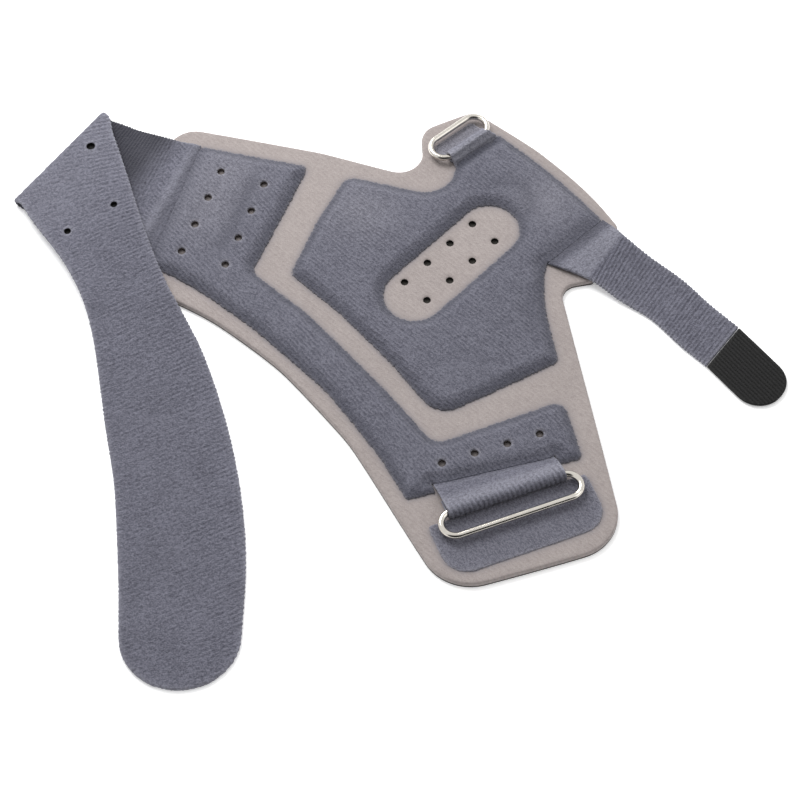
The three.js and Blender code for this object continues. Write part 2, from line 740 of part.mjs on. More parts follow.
// The tab has a slanted start, two long sides and a round tip. Made smaller, the same outline is
// the tongue of the strap that lies under it.
function tabCorners(inset, startShift) {
  const { left, right } = thumbBand[thumbBand.length - 1];
  const along = direction(tabTurn);
  const across = new THREE.Vector2(right.x - left.x, right.y - left.y).normalize();
  const startLeft = new THREE.Vector2(left.x, left.y).addScaledVector(across, inset);
  const startRight = new THREE.Vector2(right.x, right.y).addScaledVector(across, -inset);
  const half = startLeft.distanceTo(startRight) / 2;
  const corner = (point, shift, round) => (
    { point: point.clone().addScaledVector(along, shift), round });
  return [
    corner(startLeft, startShift, tabCornerRound),
    corner(startRight, startShift, tabCornerRound),
    corner(startRight, tabLength - inset, half * tabTipRound),
    corner(startLeft, tabLength - inset, half * tabTipRound),
  ];
}

const tongueThickness = strapThickness - tabThickness;
const tongue = layer(tabCorners(tabOverhang, -tabOverhang), 0, tongueThickness, 0, 0);
addPiece('thumb_strap', 'greyStrap', band([...thumbBand].reverse(), strapThickness).add(tongue));
const tabBottom = tongueThickness + seatGap;
const tabTop = tabBottom + tabThickness;
const tab = layer(tabCorners(0, seatGap), tabBottom, tabTop, tabEdgeRound, tabEdgeRound);
addPiece('hook_tab', 'hookTape', tab);

// The origin is the middle of the whole outline, on the surface below it
const bounds = new THREE.Box3().setFromObject(brace);
const centre = bounds.getCenter(new THREE.Vector3());
brace.position.set(-centre.x, -centre.y, -bounds.min.z);

export default brace;
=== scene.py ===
import math

import bmesh
import bpy
import numpy as np
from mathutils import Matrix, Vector
from mathutils.geometry import delaunay_2d_cdt
from mathutils.kdtree import KDTree


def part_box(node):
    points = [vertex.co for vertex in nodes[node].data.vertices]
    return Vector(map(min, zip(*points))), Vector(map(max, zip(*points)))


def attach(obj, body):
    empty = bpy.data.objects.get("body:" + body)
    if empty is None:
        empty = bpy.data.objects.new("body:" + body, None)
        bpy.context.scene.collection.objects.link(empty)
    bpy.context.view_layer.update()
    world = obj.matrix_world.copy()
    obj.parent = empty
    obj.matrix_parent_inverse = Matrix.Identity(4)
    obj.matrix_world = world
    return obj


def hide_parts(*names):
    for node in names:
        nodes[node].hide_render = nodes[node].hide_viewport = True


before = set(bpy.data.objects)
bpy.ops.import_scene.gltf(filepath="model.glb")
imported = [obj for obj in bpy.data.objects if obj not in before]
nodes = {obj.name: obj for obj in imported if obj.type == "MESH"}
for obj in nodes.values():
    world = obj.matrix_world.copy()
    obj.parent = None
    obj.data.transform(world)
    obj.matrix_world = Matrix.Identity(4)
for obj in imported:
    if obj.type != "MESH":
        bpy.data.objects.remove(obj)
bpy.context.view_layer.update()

# Lengths below are in millimetres, in the part's frame, until a mesh is made
MM = 0.001
PAD_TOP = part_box("base_pad")[1].z / MM
PANEL_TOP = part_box("palm_panel")[1].z / MM
PRESSED_TOP = PAD_TOP + 0.95
RIM_HEIGHT = 0.12
KNIT_PITCH = 1.5
HOLE_DEPTH = 1.2
KNIT_RELIEF = 0.08
STRAP_PITCH = 1.5
UPPER_PITCH = 1.75
STRAP_RELIEF = 0.11
STRAP_THICKNESS = 1.6
LOOP_CLOTH = 1.1
LOOP_PITCH = 1.8
HOOK_PITCH = 1.35
# Where the ribs start on the wrist strap, and the shoulder and the dark band round a panel
WRIST_SMOOTH = 10.3
SHOULDER = 5.0
BAND = 4.2
# An air hole's rim holds less than this area, an outline more
HOLE_AREA = 100
PALM_RIBS = -44
WRIST_RIBS = -51
UPPER_RIBS = 26

# The rings' frames: the bar that lies in the loop, and the way ahead to the other long side
# A ring's pale share is painted light along the top of its loop
LARGE_RING = {
    "bar": (40.030, -47.844, 5.05), "turn": 21, "wire": 2.4, "spacing": 9.9, "straight": 42.3,
    "loop": 44.3, "nose": 2.65, "back_left": 13.5, "back_right": 8.64, "flare": 0.0, "pale": 0.55,
}
SMALL_RING = {
    "bar": (28.426, 104.748, 5.0), "turn": 220, "wire": 2.2, "spacing": 9.9, "straight": 15,
    "loop": 17.8, "nose": 2.4, "back_left": 3.4, "back_right": 3.4, "flare": 3.4, "pale": 1.1,
}

# Where the straps leave their panels: the lower and the upper corner
WRIST_ROOT = ((-90.0, 50.3, 2.7), (-72.7, 105.6, 2.7))
THUMB_ROOT = ((57.6, 51.2, 4.3), (79.0, 71.2, 4.3))

# Creases pressed into the panels: the line, its half width, its depth and how dark the painted shade in it is
PALM_CREASES = [
    {"line": [(55.0, 43.0), (52.0, 30.0), (55.5, 18.0)], "width": 5.0, "depth": 0.5, "dark": 0.35},
    {"line": [(50.0, 78.0), (47.0, 60.0), (36.0, 47.0)], "width": 4.0, "depth": 0.3, "dark": 0.25},
    {"line": [(33.0, 86.5), (47.8, 85.7), (52.5, 78.0), (49.6, 68.0)],
     "width": 3.0, "depth": 0.3, "dark": 0.35},
]
WRIST_CREASES = [
    {"line": [(-50.0, 92.5), (-53.5, 84.0), (-60.5, 63.0), (-66.5, 54.0)],
     "width": 3.2, "depth": 0.5, "dark": 0.45},
]

# Where a panel runs on into a strap or a loop: the line where they meet, the valley along it, how far it
# reaches, how dark the painted shade in it is and which way leads out of the panel
SEAM_FLOOR = 3.6
PALM_SEAMS = [
    {"line": [(57.2, 51.3), (77.9, 71.0)], "valley": [(56.0, 50.2), (79.0, 72.0)],
     "reach": 3.8, "dark": 0.75, "outward": (1, -1)},
    {"line": [(23.9, 96.2), (37.8, 107.8)], "valley": [(22.0, 93.2), (31.2, 100.8), (41.6, 110.2)],
     "reach": 2.4, "dark": 1.15, "outward": (-1, 1)},
]
WRIST_SEAMS = [
    {"line": [(-89.4, 50.9), (-72.5, 105.0)], "valley": [(-89.4, 50.9), (-72.5, 105.0)],
     "reach": 3.4, "dark": 0.45, "outward": (-1, 0)},
    {"line": [(14.3, -43.1), (57.7, -31.6)], "valley": [(12.5, -43.6), (59.5, -31.2)],
     "reach": 2.6, "dark": 0.7, "outward": (0, -1)},
]


# Numbers and outlines

def ease(x, low, high):
    """0 below low, 1 above high, and a smooth rise between them."""
    t = np.clip((np.asarray(x, float) - low) / (high - low), 0, 1)
    return t * t * (3 - 2 * t)


def rounded(x, reach):
    """The rise of a rounded edge: 0 at the rim and 1 from its reach on."""
    return np.sqrt(np.clip(1 - (1 - np.clip(x / reach, 0, 1)) ** 2, 0, 1))


def bell(x, reach):
    """1 at 0, falling softly to both sides."""
    return np.exp(-((x / reach) ** 2))


def undulation(spots, length, seed):
    """Soft random swells of about the given length, from -1 to 1."""
    draw = np.random.default_rng(seed)
    total = np.zeros(len(spots))
    waves = 9
    for _ in range(waves):
        angle, phase = draw.uniform(0, 2 * math.pi, 2)
        pitch = length * draw.uniform(0.7, 1.8)
        way = spots[:, 0] * math.cos(angle) + spots[:, 1] * math.sin(angle)
        total += np.sin(2 * math.pi * way / pitch + phase)
    return total / math.sqrt(waves)


def direction(degrees):
    return np.array([math.cos(math.radians(degrees)), math.sin(math.radians(degrees))])


def lengths(rows):
    return np.linalg.norm(rows, axis=-1)


def hermite(start, leave, end, arrive, t):
    t = t[:, None]
    return (
        (2 * t**3 - 3 * t**2 + 1) * start + (t**3 - 2 * t**2 + t) * leave
        + (3 * t**2 - 2 * t**3) * end + (t**3 - t**2) * arrive
    )


def smooth_path(points, spacing, corner=35, closed=True):
    """Points along a faceted path, made round where its sides turn little."""
    points = np.asarray(points, float)
    count = len(points)
    after = np.roll(points, -1, 0)
    before = np.roll(points, 1, 0)
    length = lengths(after - points)
    ahead = (after - points) / np.maximum(length, 1e-9)[:, None]
    behind = np.roll(ahead, 1, 0)
    chord = after - before
    tangent = chord / np.maximum(lengths(chord), 1e-9)[:, None]
    if not closed:
        tangent[0], tangent[-1] = ahead[0], behind[-1]
    turn = np.degrees(np.arccos(np.clip((ahead * behind).sum(1), -1, 1)))
    sharp = (turn > corner)[:, None]
    if not closed:
        sharp[0] = sharp[-1] = False
    leave = np.where(sharp, ahead, tangent)
    arrive = np.where(sharp, behind, tangent)
    pieces = []
    for i in range(count if closed else count - 1):
        j = (i + 1) % count
        parts = max(1, math.ceil(length[i] / spacing))
        t = np.arange(parts) / parts
        pieces.append(hermite(points[i], leave[i] * length[i], points[j], arrive[j] * length[i], t))
    if not closed:
        pieces.append(points[-1:])
    return np.concatenate(pieces)


def shell_of(node):
    """A welded copy of a CAD node's mesh."""
    shell = bmesh.new()
    shell.from_mesh(nodes[node].data)
    bmesh.ops.remove_doubles(shell, verts=shell.verts, dist=1e-6)
    return shell


def is_outline(ring):
    return abs(area_of(ring)) > HOLE_AREA


def rims(faces):
    """The closed rims of a set of faces, the longest first."""
    inside = set(faces)
    after = {}
    for face in sorted(faces, key=lambda face: tuple(face.calc_center_median())):
        for corner in face.loops:
            if sum(other in inside for other in corner.edge.link_faces) == 1:
                after[corner.vert] = corner.link_loop_next.vert
    found = []
    while after:
        start, vert = after.popitem()
        ring = [start]
        while vert in after:
            ring.append(vert)
            vert = after.pop(vert)
        found.append(np.array([v.co for v in ring]) / MM)
    return sorted(found, key=lambda ring: -len_of(ring))


def len_of(ring):
    return lengths(np.roll(ring, -1, 0) - ring).sum()


def plan_rims(node):
    """The outline of a CAD node's underside and its holes, seen from above."""
    shell = shell_of(node)
    low = min(v.co.z for v in shell.verts)
    level = [
        face for face in shell.faces
        if face.normal.z < -0.99 and abs(face.calc_center_median().z - low) < 1e-5
    ]
    found = [ring[:, :2] for ring in rims(level)]
    shell.free()
    return found


def upper_rims(node):
    """The rims of the face that a band of cloth turns up at its highest place, followed round its folds."""
    shell = shell_of(node)
    flat = [face for face in shell.faces if face.normal.z > 0.9]
    seed = max(flat, key=lambda face: face.calc_center_median().z)
    reached, front = {seed}, [seed]
    fold_limit = math.radians(50)
    while front:
        face = front.pop()
        for edge in face.edges:
            if len(edge.link_faces) == 2 and edge.calc_face_angle() < fold_limit:
                for other in edge.link_faces:
                    if other not in reached:
                        reached.add(other)
                        front.append(other)
    found = rims(reached)
    shell.free()
    return found


def tree_of(points):
    tree = KDTree(len(points))
    for i, point in enumerate(points):
        tree.insert((point[0], point[1], 0), i)
    tree.balance()
    return tree


def depths(tree, spots):
    return np.array([tree.find((x, y, 0))[2] for x, y in spots])


def area_of(ring):
    after = np.roll(ring, -1, 0)
    return 0.5 * float((ring[:, 0] * after[:, 1] - after[:, 0] * ring[:, 1]).sum())


def row_spots(rings, turn, row_step, run_step):
    """A lattice inside the rings, in rows that run along the turned direction."""
    along, square = direction(turn), direction(turn + 90)
    turned = [np.stack([ring @ along, ring @ square], 1) for ring in rings]
    low = min(ring[:, 1].min() for ring in turned)
    high = max(ring[:, 1].max() for ring in turned)
    spots = []
    first, last = math.ceil(low / row_step), math.floor(high / row_step)
    for row in range(first, last + 1):
        level = row * row_step + 1e-4
        crossings = []
        for ring in turned:
            after = np.roll(ring, -1, 0)
            cuts = (ring[:, 1] > level) != (after[:, 1] > level)
            start, end = ring[cuts], after[cuts]
            share = (level - start[:, 1]) / (end[:, 1] - start[:, 1])
            crossings.extend(start[:, 0] + share * (end[:, 0] - start[:, 0]))
        crossings.sort()
        shift = 0.5 * run_step * (row % 2)
        for a, b in zip(crossings[::2], crossings[1::2]):
            steps = np.arange(math.ceil((a - shift) / run_step), math.floor((b - shift) / run_step) + 1)
            spots.append(np.outer(steps * run_step + shift, along) + level * square)
    return np.concatenate(spots)


def thinned(ring, gap):
    """A rim without the points that crowd closer than a gap."""
    kept = [ring[0]]
    for point in ring[1:]:
        if min(np.linalg.norm(point - kept[-1]), np.linalg.norm(point - ring[0])) > gap:
            kept.append(point)
    return np.array(kept)


def inward_of(ring):
    """Unit steps towards the cloth at each point of a rim."""
    along = np.roll(ring, -1, 0) - np.roll(ring, 1, 0)
    along /= np.maximum(lengths(along), 1e-9)[:, None]
    return np.stack([-along[:, 1], along[:, 0]], 1)


def seam_depth(spots, seams):
    """How far inside a seam's ends each spot lies, or 0 where it isn't on a seam."""
    best = np.zeros(len(spots))
    for seam in seams:
        start, end = np.array(seam["line"])
        side = end - start
        t = np.clip(((spots - start) @ side) / (side @ side), 0, 1)
        away = lengths(spots - start - t[:, None] * side)
        inside = np.minimum(t, 1 - t) * np.linalg.norm(side)
        best = np.maximum(best, np.where(away < 0.5, inside, 0))
    return best


def beyond(spots, seam):
    """How far each spot lies past a seam, outside the panel."""
    start, end = np.array(seam["line"])
    side = (end - start) / np.linalg.norm(end - start)
    outward = np.array(seam["outward"])
    square = np.array([-side[1], side[0]])
    square *= np.sign(square @ outward)
    t = (spots - start) @ side
    inside = (t > 0) & (t < np.linalg.norm(end - start))
    return np.where(inside, (spots - start) @ square, 0)


class Cut:
    """A flat piece of cloth: its outline and holes, filled with points in rows along its ribs."""

    def __init__(self, rings, turn, row_step, run_step, steps=(0.15, 0.4, 0.75), spacing=0.5,
                 lattice=None, seams=(), tuck=0.7, fray=0.0, seed=1):
        rings = [thinned(smooth_path(ring, spacing), 0.2) for ring in rings]
        rings = [ring if (area_of(ring) > 0) == (i == 0) else ring[::-1] for i, ring in enumerate(rings)]
        draw = np.random.default_rng(seed)
        free = []
        for i, ring in enumerate(rings):
            inside = seam_depth(ring, seams)
            sewn = inside > 0
            if is_outline(ring):
                loose = fray * np.clip(draw.normal(size=len(ring)), -1.6, 1.6)
                shift = np.where(sewn, -tuck * ease(inside, 0.5, 2.5), loose)
                rings[i] = ring + shift[:, None] * inward_of(ring)
            free.append(~sewn)
        self.rings = rings
        edges = [ring[mask] for ring, mask in zip(rings, free) if is_outline(ring)]
        punches = [ring for ring in rings if not is_outline(ring)]
        edge_tree = tree_of(np.concatenate(edges))
        punch_tree = tree_of(np.concatenate(punches)) if punches else None
        every_tree = tree_of(np.concatenate(rings))
        spots = [*rings]
        for step in steps:
            for ring in rings:
                offset = ring + step * inward_of(ring)
                spots.append(offset[depths(every_tree, offset) > 0.93 * step])
        if lattice is None:
            lattice = row_spots(rings, turn, row_step, run_step)
        clear = depths(every_tree, lattice) > steps[-1] + 0.45 * row_step
        spots.append(lattice[clear])
        flat = np.concatenate(spots)
        sides, start, loops = [], 0, []
        for ring in rings:
            ids = list(range(start, start + len(ring)))
            loops.append(ids)
            sides.extend(zip(ids, [*ids[1:], ids[0]]))
            start += len(ring)
        points = [Vector(spot) for spot in flat.tolist()]
        made = delaunay_2d_cdt(points, sides, [], 2, 1e-6)
        self.spots = np.array([tuple(point) for point in made[0]])
        where = {old: new for new, olds in enumerate(made[3]) for old in olds}
        self.loops = [[where[i] for i in ids] for ids in loops]
        self.owner = {i: k for k, loop in enumerate(self.loops) for i in loop}
        self.faces = self.without_holes(made[2])
        self.edge = depths(edge_tree, self.spots)
        self.punch = depths(punch_tree, self.spots) if punches else np.full(len(self.spots), 99.0)
        for ids, mask in zip(self.loops, free):
            far = self.edge if is_outline(self.spots[ids]) else self.punch
            far[np.array(ids)[mask]] = 0
        self.square = self.spots @ direction(turn + 90)

    def without_holes(self, faces):
        """The faces that don't span one hole's rim."""
        def spans(face):
            owners = {self.owner.get(i, 0) for i in face}
            return len(owners) == 1 and owners != {0}
        return [face for face in faces if not spans(face)]

    def plain_back(self):
        """The faces of the outline without the points inside it."""
        ids = [i for loop in self.loops for i in loop]
        place = {i: k for k, i in enumerate(ids)}
        sides = [(place[a], place[b]) for loop in self.loops for a, b in zip(loop, loop[1:] + loop[:1])]
        points = [Vector(spot) for spot in self.spots[ids].tolist()]
        made = delaunay_2d_cdt(points, sides, [], 2, 1e-6)
        tree = tree_of(self.spots[ids])
        back = {new: ids[olds[0] if olds else tree.find((*made[0][new], 0))[1]]
                for new, olds in enumerate(made[3])}
        faces = [tuple(back[i] for i in face) for face in made[2]]
        return self.without_holes([face for face in faces if len(set(face)) == 3])


def show(name, data):
    """A new object at the origin."""
    made = bpy.data.objects.new(name, data)
    bpy.context.scene.collection.objects.link(made)
    return made


def stand_in(piece, node, body="brace"):
    """Puts a piece in a node's place."""
    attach(piece, body)
    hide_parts(node)


def at_height(spots, height):
    return np.column_stack([spots, np.broadcast_to(height, len(spots))])


def make_piece(name, points, faces, finishes, face_finish=None, marks=None):
    """A mesh object from points in millimetres, with its finishes and its marks for the shaders."""
    mesh = bpy.data.meshes.new(name)
    mesh.from_pydata((np.asarray(points) * MM).tolist(), [], faces)
    for finish in finishes:
        mesh.materials.append(finish)
    if face_finish is not None:
        mesh.polygons.foreach_set("material_index", np.asarray(face_finish, np.int32))
    for mark, values in (marks or {}).items():
        layer = mesh.attributes.new(mark, "FLOAT", "POINT")
        layer.data.foreach_set("value", np.asarray(values, np.float32))
    mesh.polygons.foreach_set("use_smooth", np.full(len(mesh.polygons), True))
    mesh.update()
    return show(name, mesh)


def cloth_piece(name, cut, front, back, finishes, marks, full_back=False, wall_finish=1, blind=False):
    """A closed piece from a cut: its front, its back and the walls between them round every rim."""
    count = len(cut.spots)
    faces = [tuple(face) for face in cut.faces]
    looks = [0] * len(faces)
    rear = cut.faces if full_back else cut.plain_back()
    faces += [tuple(i + count for i in reversed(face)) for face in rear]
    looks += [0 if full_back else wall_finish] * len(rear)
    for loop in cut.loops:
        outline = is_outline(cut.spots[loop])
        for a, b in zip(loop, loop[1:] + loop[:1]):
            faces.append((b, a, a + count, b + count))
            looks.append(0 if outline else wall_finish)
        # A blind hole gets a bottom in the wall finish: a plug that paints the shade inside the hole
        if blind and not outline:
            faces.append(tuple(i + count for i in loop))
            looks.append(wall_finish)
    points = np.concatenate([front, back])
    doubled = {mark: np.concatenate([values, values]) for mark, values in marks.items()}
    used = np.zeros(len(points), bool)
    used[[i for face in faces for i in face]] = True
    renumber = np.cumsum(used) - 1
    faces = [tuple(int(renumber[i]) for i in face) for face in faces]
    doubled = {mark: values[used] for mark, values in doubled.items()}
    return make_piece(name, points[used], faces, finishes, looks, doubled)


def line_distance(spots, line):
    """How far each spot lies from a line of points, and how far along it the nearest place is."""
    line = smooth_path(line, 1.0, corner=80, closed=False)
    best = np.full(len(spots), 1e9)
    share = np.zeros(len(spots))
    for i, (start, end) in enumerate(zip(line[:-1], line[1:])):
        side = end - start
        t = np.clip(((spots - start) @ side) / (side @ side), 0, 1)
        away = lengths(spots - start - t[:, None] * side)
        nearer = away < best
        best[nearer] = away[nearer]
        share[nearer] = (i + t[nearer]) / (len(line) - 1)
    return best, share


# Finishes

class Value:
    """A shader socket that takes part in sums."""

    def __init__(self, finish, socket):
        self.finish, self.socket = finish, socket

    def sum(self, operation, first, second):
        return self.finish.node("ShaderNodeMath", {"operation": operation}, {0: first, 1: second})

    def __add__(self, other):
        return self.sum("ADD", self, other)

    __radd__ = __add__

    def __mul__(self, other):
        return self.sum("MULTIPLY", self, other)

    __rmul__ = __mul__

    def __sub__(self, other):
        return self.sum("SUBTRACT", self, other)

    def __rsub__(self, other):
        return self.sum("SUBTRACT", other, self)


def colour(red, green, blue):
    """A display colour from 0 to 255, as the shader takes it."""
    parts = [c / 255 for c in (red, green, blue)]
    return (*[c / 12.92 if c <= 0.04045 else ((c + 0.055) / 1.055) ** 2.4 for c in parts], 1)


class Finish:
    """A material whose nodes are written as expressions."""

    def __init__(self, name, roughness=0.9, metallic=0.0, sheen=0.0):
        self.material = bpy.data.materials.new(name)
        self.material.use_nodes = True
        self.tree = self.material.node_tree
        self.shader = self.tree.nodes["Principled BSDF"]
        self.shader.inputs["Roughness"].default_value = roughness
        self.shader.inputs["Metallic"].default_value = metallic
        self.shader.inputs["Sheen Weight"].default_value = sheen
        self.shader.inputs["Sheen Roughness"].default_value = 0.6
        self.places = self.node("ShaderNodeTexCoord", output="Object")

    def node(self, kind, settings=None, values=None, output=0):
        made = self.tree.nodes.new(kind)
        for key, setting in (settings or {}).items():
            setattr(made, key, setting)
        for key, value in (values or {}).items():
            if isinstance(value, Value):
                self.tree.links.new(value.socket, made.inputs[key])
            else:
                made.inputs[key].default_value = value
        return Value(self, made.outputs[output])

    def noise(self, scale, detail=3.0, places=None, roughness=0.55):
        values = {"Vector": places or self.places, "Scale": scale, "Detail": detail, "Roughness": roughness}
        return self.node("ShaderNodeTexNoise", None, values, "Fac")

    def stretched(self, turn, scale):
        """Object places turned by an angle about Z and scaled along their new axes."""
        turned = self.node("ShaderNodeVectorRotate", {"rotation_type": "Z_AXIS"},
                           {"Vector": self.places, "Angle": math.radians(-turn)})
        return self.node("ShaderNodeVectorMath", {"operation": "MULTIPLY"}, {0: turned, 1: scale})

    def mark(self, name):
        return self.node("ShaderNodeAttribute", {"attribute_name": name}, output="Fac")

    def mix(self, share, first, second):
        return self.node("ShaderNodeMix", {"data_type": "RGBA"}, {0: share, 6: first, 7: second}, 2)

    def within(self, value, low, high):
        return self.node("ShaderNodeMapRange", {"interpolation_type": "SMOOTHSTEP"},
                         {0: value, 1: low, 2: high, 3: 0.0, 4: 1.0})

    def wave(self, turns):
        return self.node("ShaderNodeMath", {"operation": "COSINE"}, {0: turns * (2 * math.pi)})

    def paint(self, shade):
        self.tree.links.new(shade.socket, self.shader.inputs["Base Color"])

    def bump(self, height, distance, strength=1.0):
        values = {"Height": height, "Distance": distance, "Strength": strength}
        normal = self.node("ShaderNodeBump", None, values)
        self.tree.links.new(normal.socket, self.shader.inputs["Normal"])


def knit_finish(name, turn, dark, light, pressed_rim_and_shade, pale, ribs=0.11, sheen=0.1):
    """Brushed loop knit: ribs from the piece's own rib mark, short fibres, pale fringes and painted light,
    and painted shade with a darker tone.
    """
    finish = Finish(name, 0.95, sheen=sheen)
    fibres = finish.noise(2400, 2, finish.stretched(turn, (0.7, 1.0, 1.0))) - 0.5
    tufts = finish.noise(1100, 2, finish.stretched(turn, (0.8, 1.0, 1.0))) - 0.5
    clouds = finish.noise(70, 3) - 0.5
    wave = finish.wave(finish.mark("rib") + tufts * 0.5) * finish.mark("ribbed")
    share = tufts * 1.4 + fibres * 2.0 + clouds * 0.4 + wave * ribs + 0.5
    base = finish.mix(finish.within(share, 0.0, 1.0), colour(*dark), colour(*light))
    # Mixes in the pale colour: painted light on lit places and highlights, and pale fringes at the edges
    painted_light_and_fringe = finish.mix(finish.mark("painted_light_and_fringe") * (fibres * 1.2 + tufts + 0.75), base, colour(*pale))
    # Mixes in the dark colour: painted shade in creases, valleys, hole rims and under folds, and a darker
    # tone near panel edges
    finish.paint(finish.mix(finish.mark("painted_shade_and_dark_tone") * 0.62, painted_light_and_fringe, colour(*pressed_rim_and_shade)))
    finish.bump(fibres * 0.8 + tufts * 1.0 + wave * 0.2, 0.0004, 0.9)
    return finish.material


def suede_finish():
    finish = Finish("beige_knit", 0.92, sheen=0.1)
    grain = finish.noise(2000, 2) - 0.5
    mottle = finish.noise(700, 2, finish.stretched(PALM_RIBS, (0.8, 1.0, 1.0))) - 0.5
    clouds = finish.noise(40, 2) - 0.5
    ribs = finish.wave(finish.mark("rib") + mottle * 0.8)
    share = grain * 0.8 + mottle * 0.6 + clouds * 0.3 + ribs * 0.035 + 0.5
    base = finish.mix(finish.within(share, 0.0, 1.0), colour(138, 129, 127), colour(166, 157, 154))
    nap = finish.mark("nap") * (grain * 2.0 + mottle * 1.5 + 0.7)
    fuzzy = finish.mix(nap, base, colour(108, 106, 114))
    # Mixes in painted shade round the rims of the air holes
    finish.paint(finish.mix(finish.mark("painted_shade_and_dark_tone") * 0.5, fuzzy, colour(110, 100, 96)))
    finish.bump(grain * 0.6 + mottle * 0.6 + ribs * 0.06, 0.0003, 0.7)
    return finish.material


def foam_finish(name, first, second):
    finish = Finish(name, 0.95)
    shade = finish.noise(1500, 2)
    finish.paint(finish.mix(shade, colour(*first), colour(*second)))
    finish.bump(shade, 0.0002, 0.5)
    return finish.material


def hook_finish():
    finish = Finish("hook_tape", 0.6)
    finish.shader.inputs["Specular IOR Level"].default_value = 0.3
    grain = finish.noise(1200, 3)
    finish.paint(finish.mix(grain, colour(5, 5, 5), colour(17, 17, 17)))
    finish.bump(grain, 0.0002, 0.6)
    return finish.material


def nickel_finish():
    finish = Finish("nickel", 0.16, 1.0)
    smear = finish.noise(260, 3)
    finish.paint(finish.mix(smear, colour(205, 200, 192), colour(228, 223, 214)))
    rough = smear * 0.1 + 0.08
    finish.tree.links.new(rough.socket, finish.shader.inputs["Roughness"])
    return finish.material


# The dark colours stand for painted shade and a darker band near panel edges, the pale ones for painted light
# and pale fringes
GREY = {"dark": (73, 73, 85), "light": (108, 108, 120), "pressed_rim_and_shade": (55, 56, 68), "pale": (156, 154, 162)}
# The strap's darkest colour is the painted shadow on the layer under its fold
STRAP_GREY = {"dark": (73, 73, 85), "light": (110, 110, 123), "pressed_rim_and_shade": (40, 40, 50),
              "pale": (152, 152, 163)}
palm_knit = knit_finish("palm_knit", PALM_RIBS, **GREY)
wrist_knit = knit_finish("wrist_knit", WRIST_RIBS, **GREY, ribs=0.17)
strap_knit = knit_finish("strap_knit", UPPER_RIBS, **STRAP_GREY, ribs=0.16)
beige_knit = suede_finish()
# Near black: the walls of the pad's air holes and the plugs in the straps' air holes, painted shade for the
# holes' insides, and hidden backs
hole_shade_black = foam_finish("hole_shade_black", (10, 10, 10), (26, 25, 24))
# Mid grey: the walls and the bottoms of the panels' air holes, painted shade for their insides
hole_shade_grey = foam_finish("hole_shade_grey", (84, 79, 79), (128, 121, 120))
# The lining's dark knit, which also paints the shade seen down the pad's air holes
dark_knit = foam_finish("dark_knit", (44, 42, 38), (70, 67, 62))
hook_tape = hook_finish()
nickel = nickel_finish()


# The pad and its panels

def crease_marks(spots, creases):
    """How deep the creases lie and how dark they are at each spot."""
    drop, dark = np.zeros(len(spots)), np.zeros(len(spots))
    for crease in creases:
        away, share = line_distance(spots, np.array(crease["line"]))
        fade = ease(share, 0.0, 0.18) * ease(1 - share, 0.0, 0.18)
        form = bell(away, crease["width"]) * (0.35 + 0.65 * fade)
        drop += crease["depth"] * form
        dark = np.maximum(dark, crease["dark"] * form)
    return drop, dark


def make_pad():
    cut = Cut(plan_rims("base_pad"), PALM_RIBS, 0.8, 0.9, steps=(0.12, 0.35, 0.8), spacing=0.6)
    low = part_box("base_pad")[0].z / MM
    edge = rounded(cut.edge, 0.6)
    lip = np.exp(-cut.punch / 0.45)
    height = low + 0.5 + (PAD_TOP - low - 0.5) * edge - 0.35 * lip
    height += 0.05 * undulation(cut.spots, 14, 3) * ease(cut.edge, 0.5, 3)
    edges = [ring for node in ("palm_panel", "wrist_panel", "end_patch", "ring_patch")
             for ring in plan_rims(node) if is_outline(ring)]
    edge_tree = tree_of(np.concatenate([smooth_path(ring, 0.5) for ring in edges]))
    nap = np.exp(-depths(edge_tree, cut.spots) / 0.8)
    # The dark round the air holes' rims is painted shade; nap is a grey fringe of fibres where the panels'
    # edges meet the pad
    marks = {"rib": cut.square / KNIT_PITCH, "painted_shade_and_dark_tone": 0.5 * lip, "nap": nap}
    front, back = at_height(cut.spots, height), at_height(cut.spots, low)
    pad = cloth_piece("pad_cloth", cut, front, back, [beige_knit, hole_shade_black], marks)
    stand_in(pad, "base_pad")


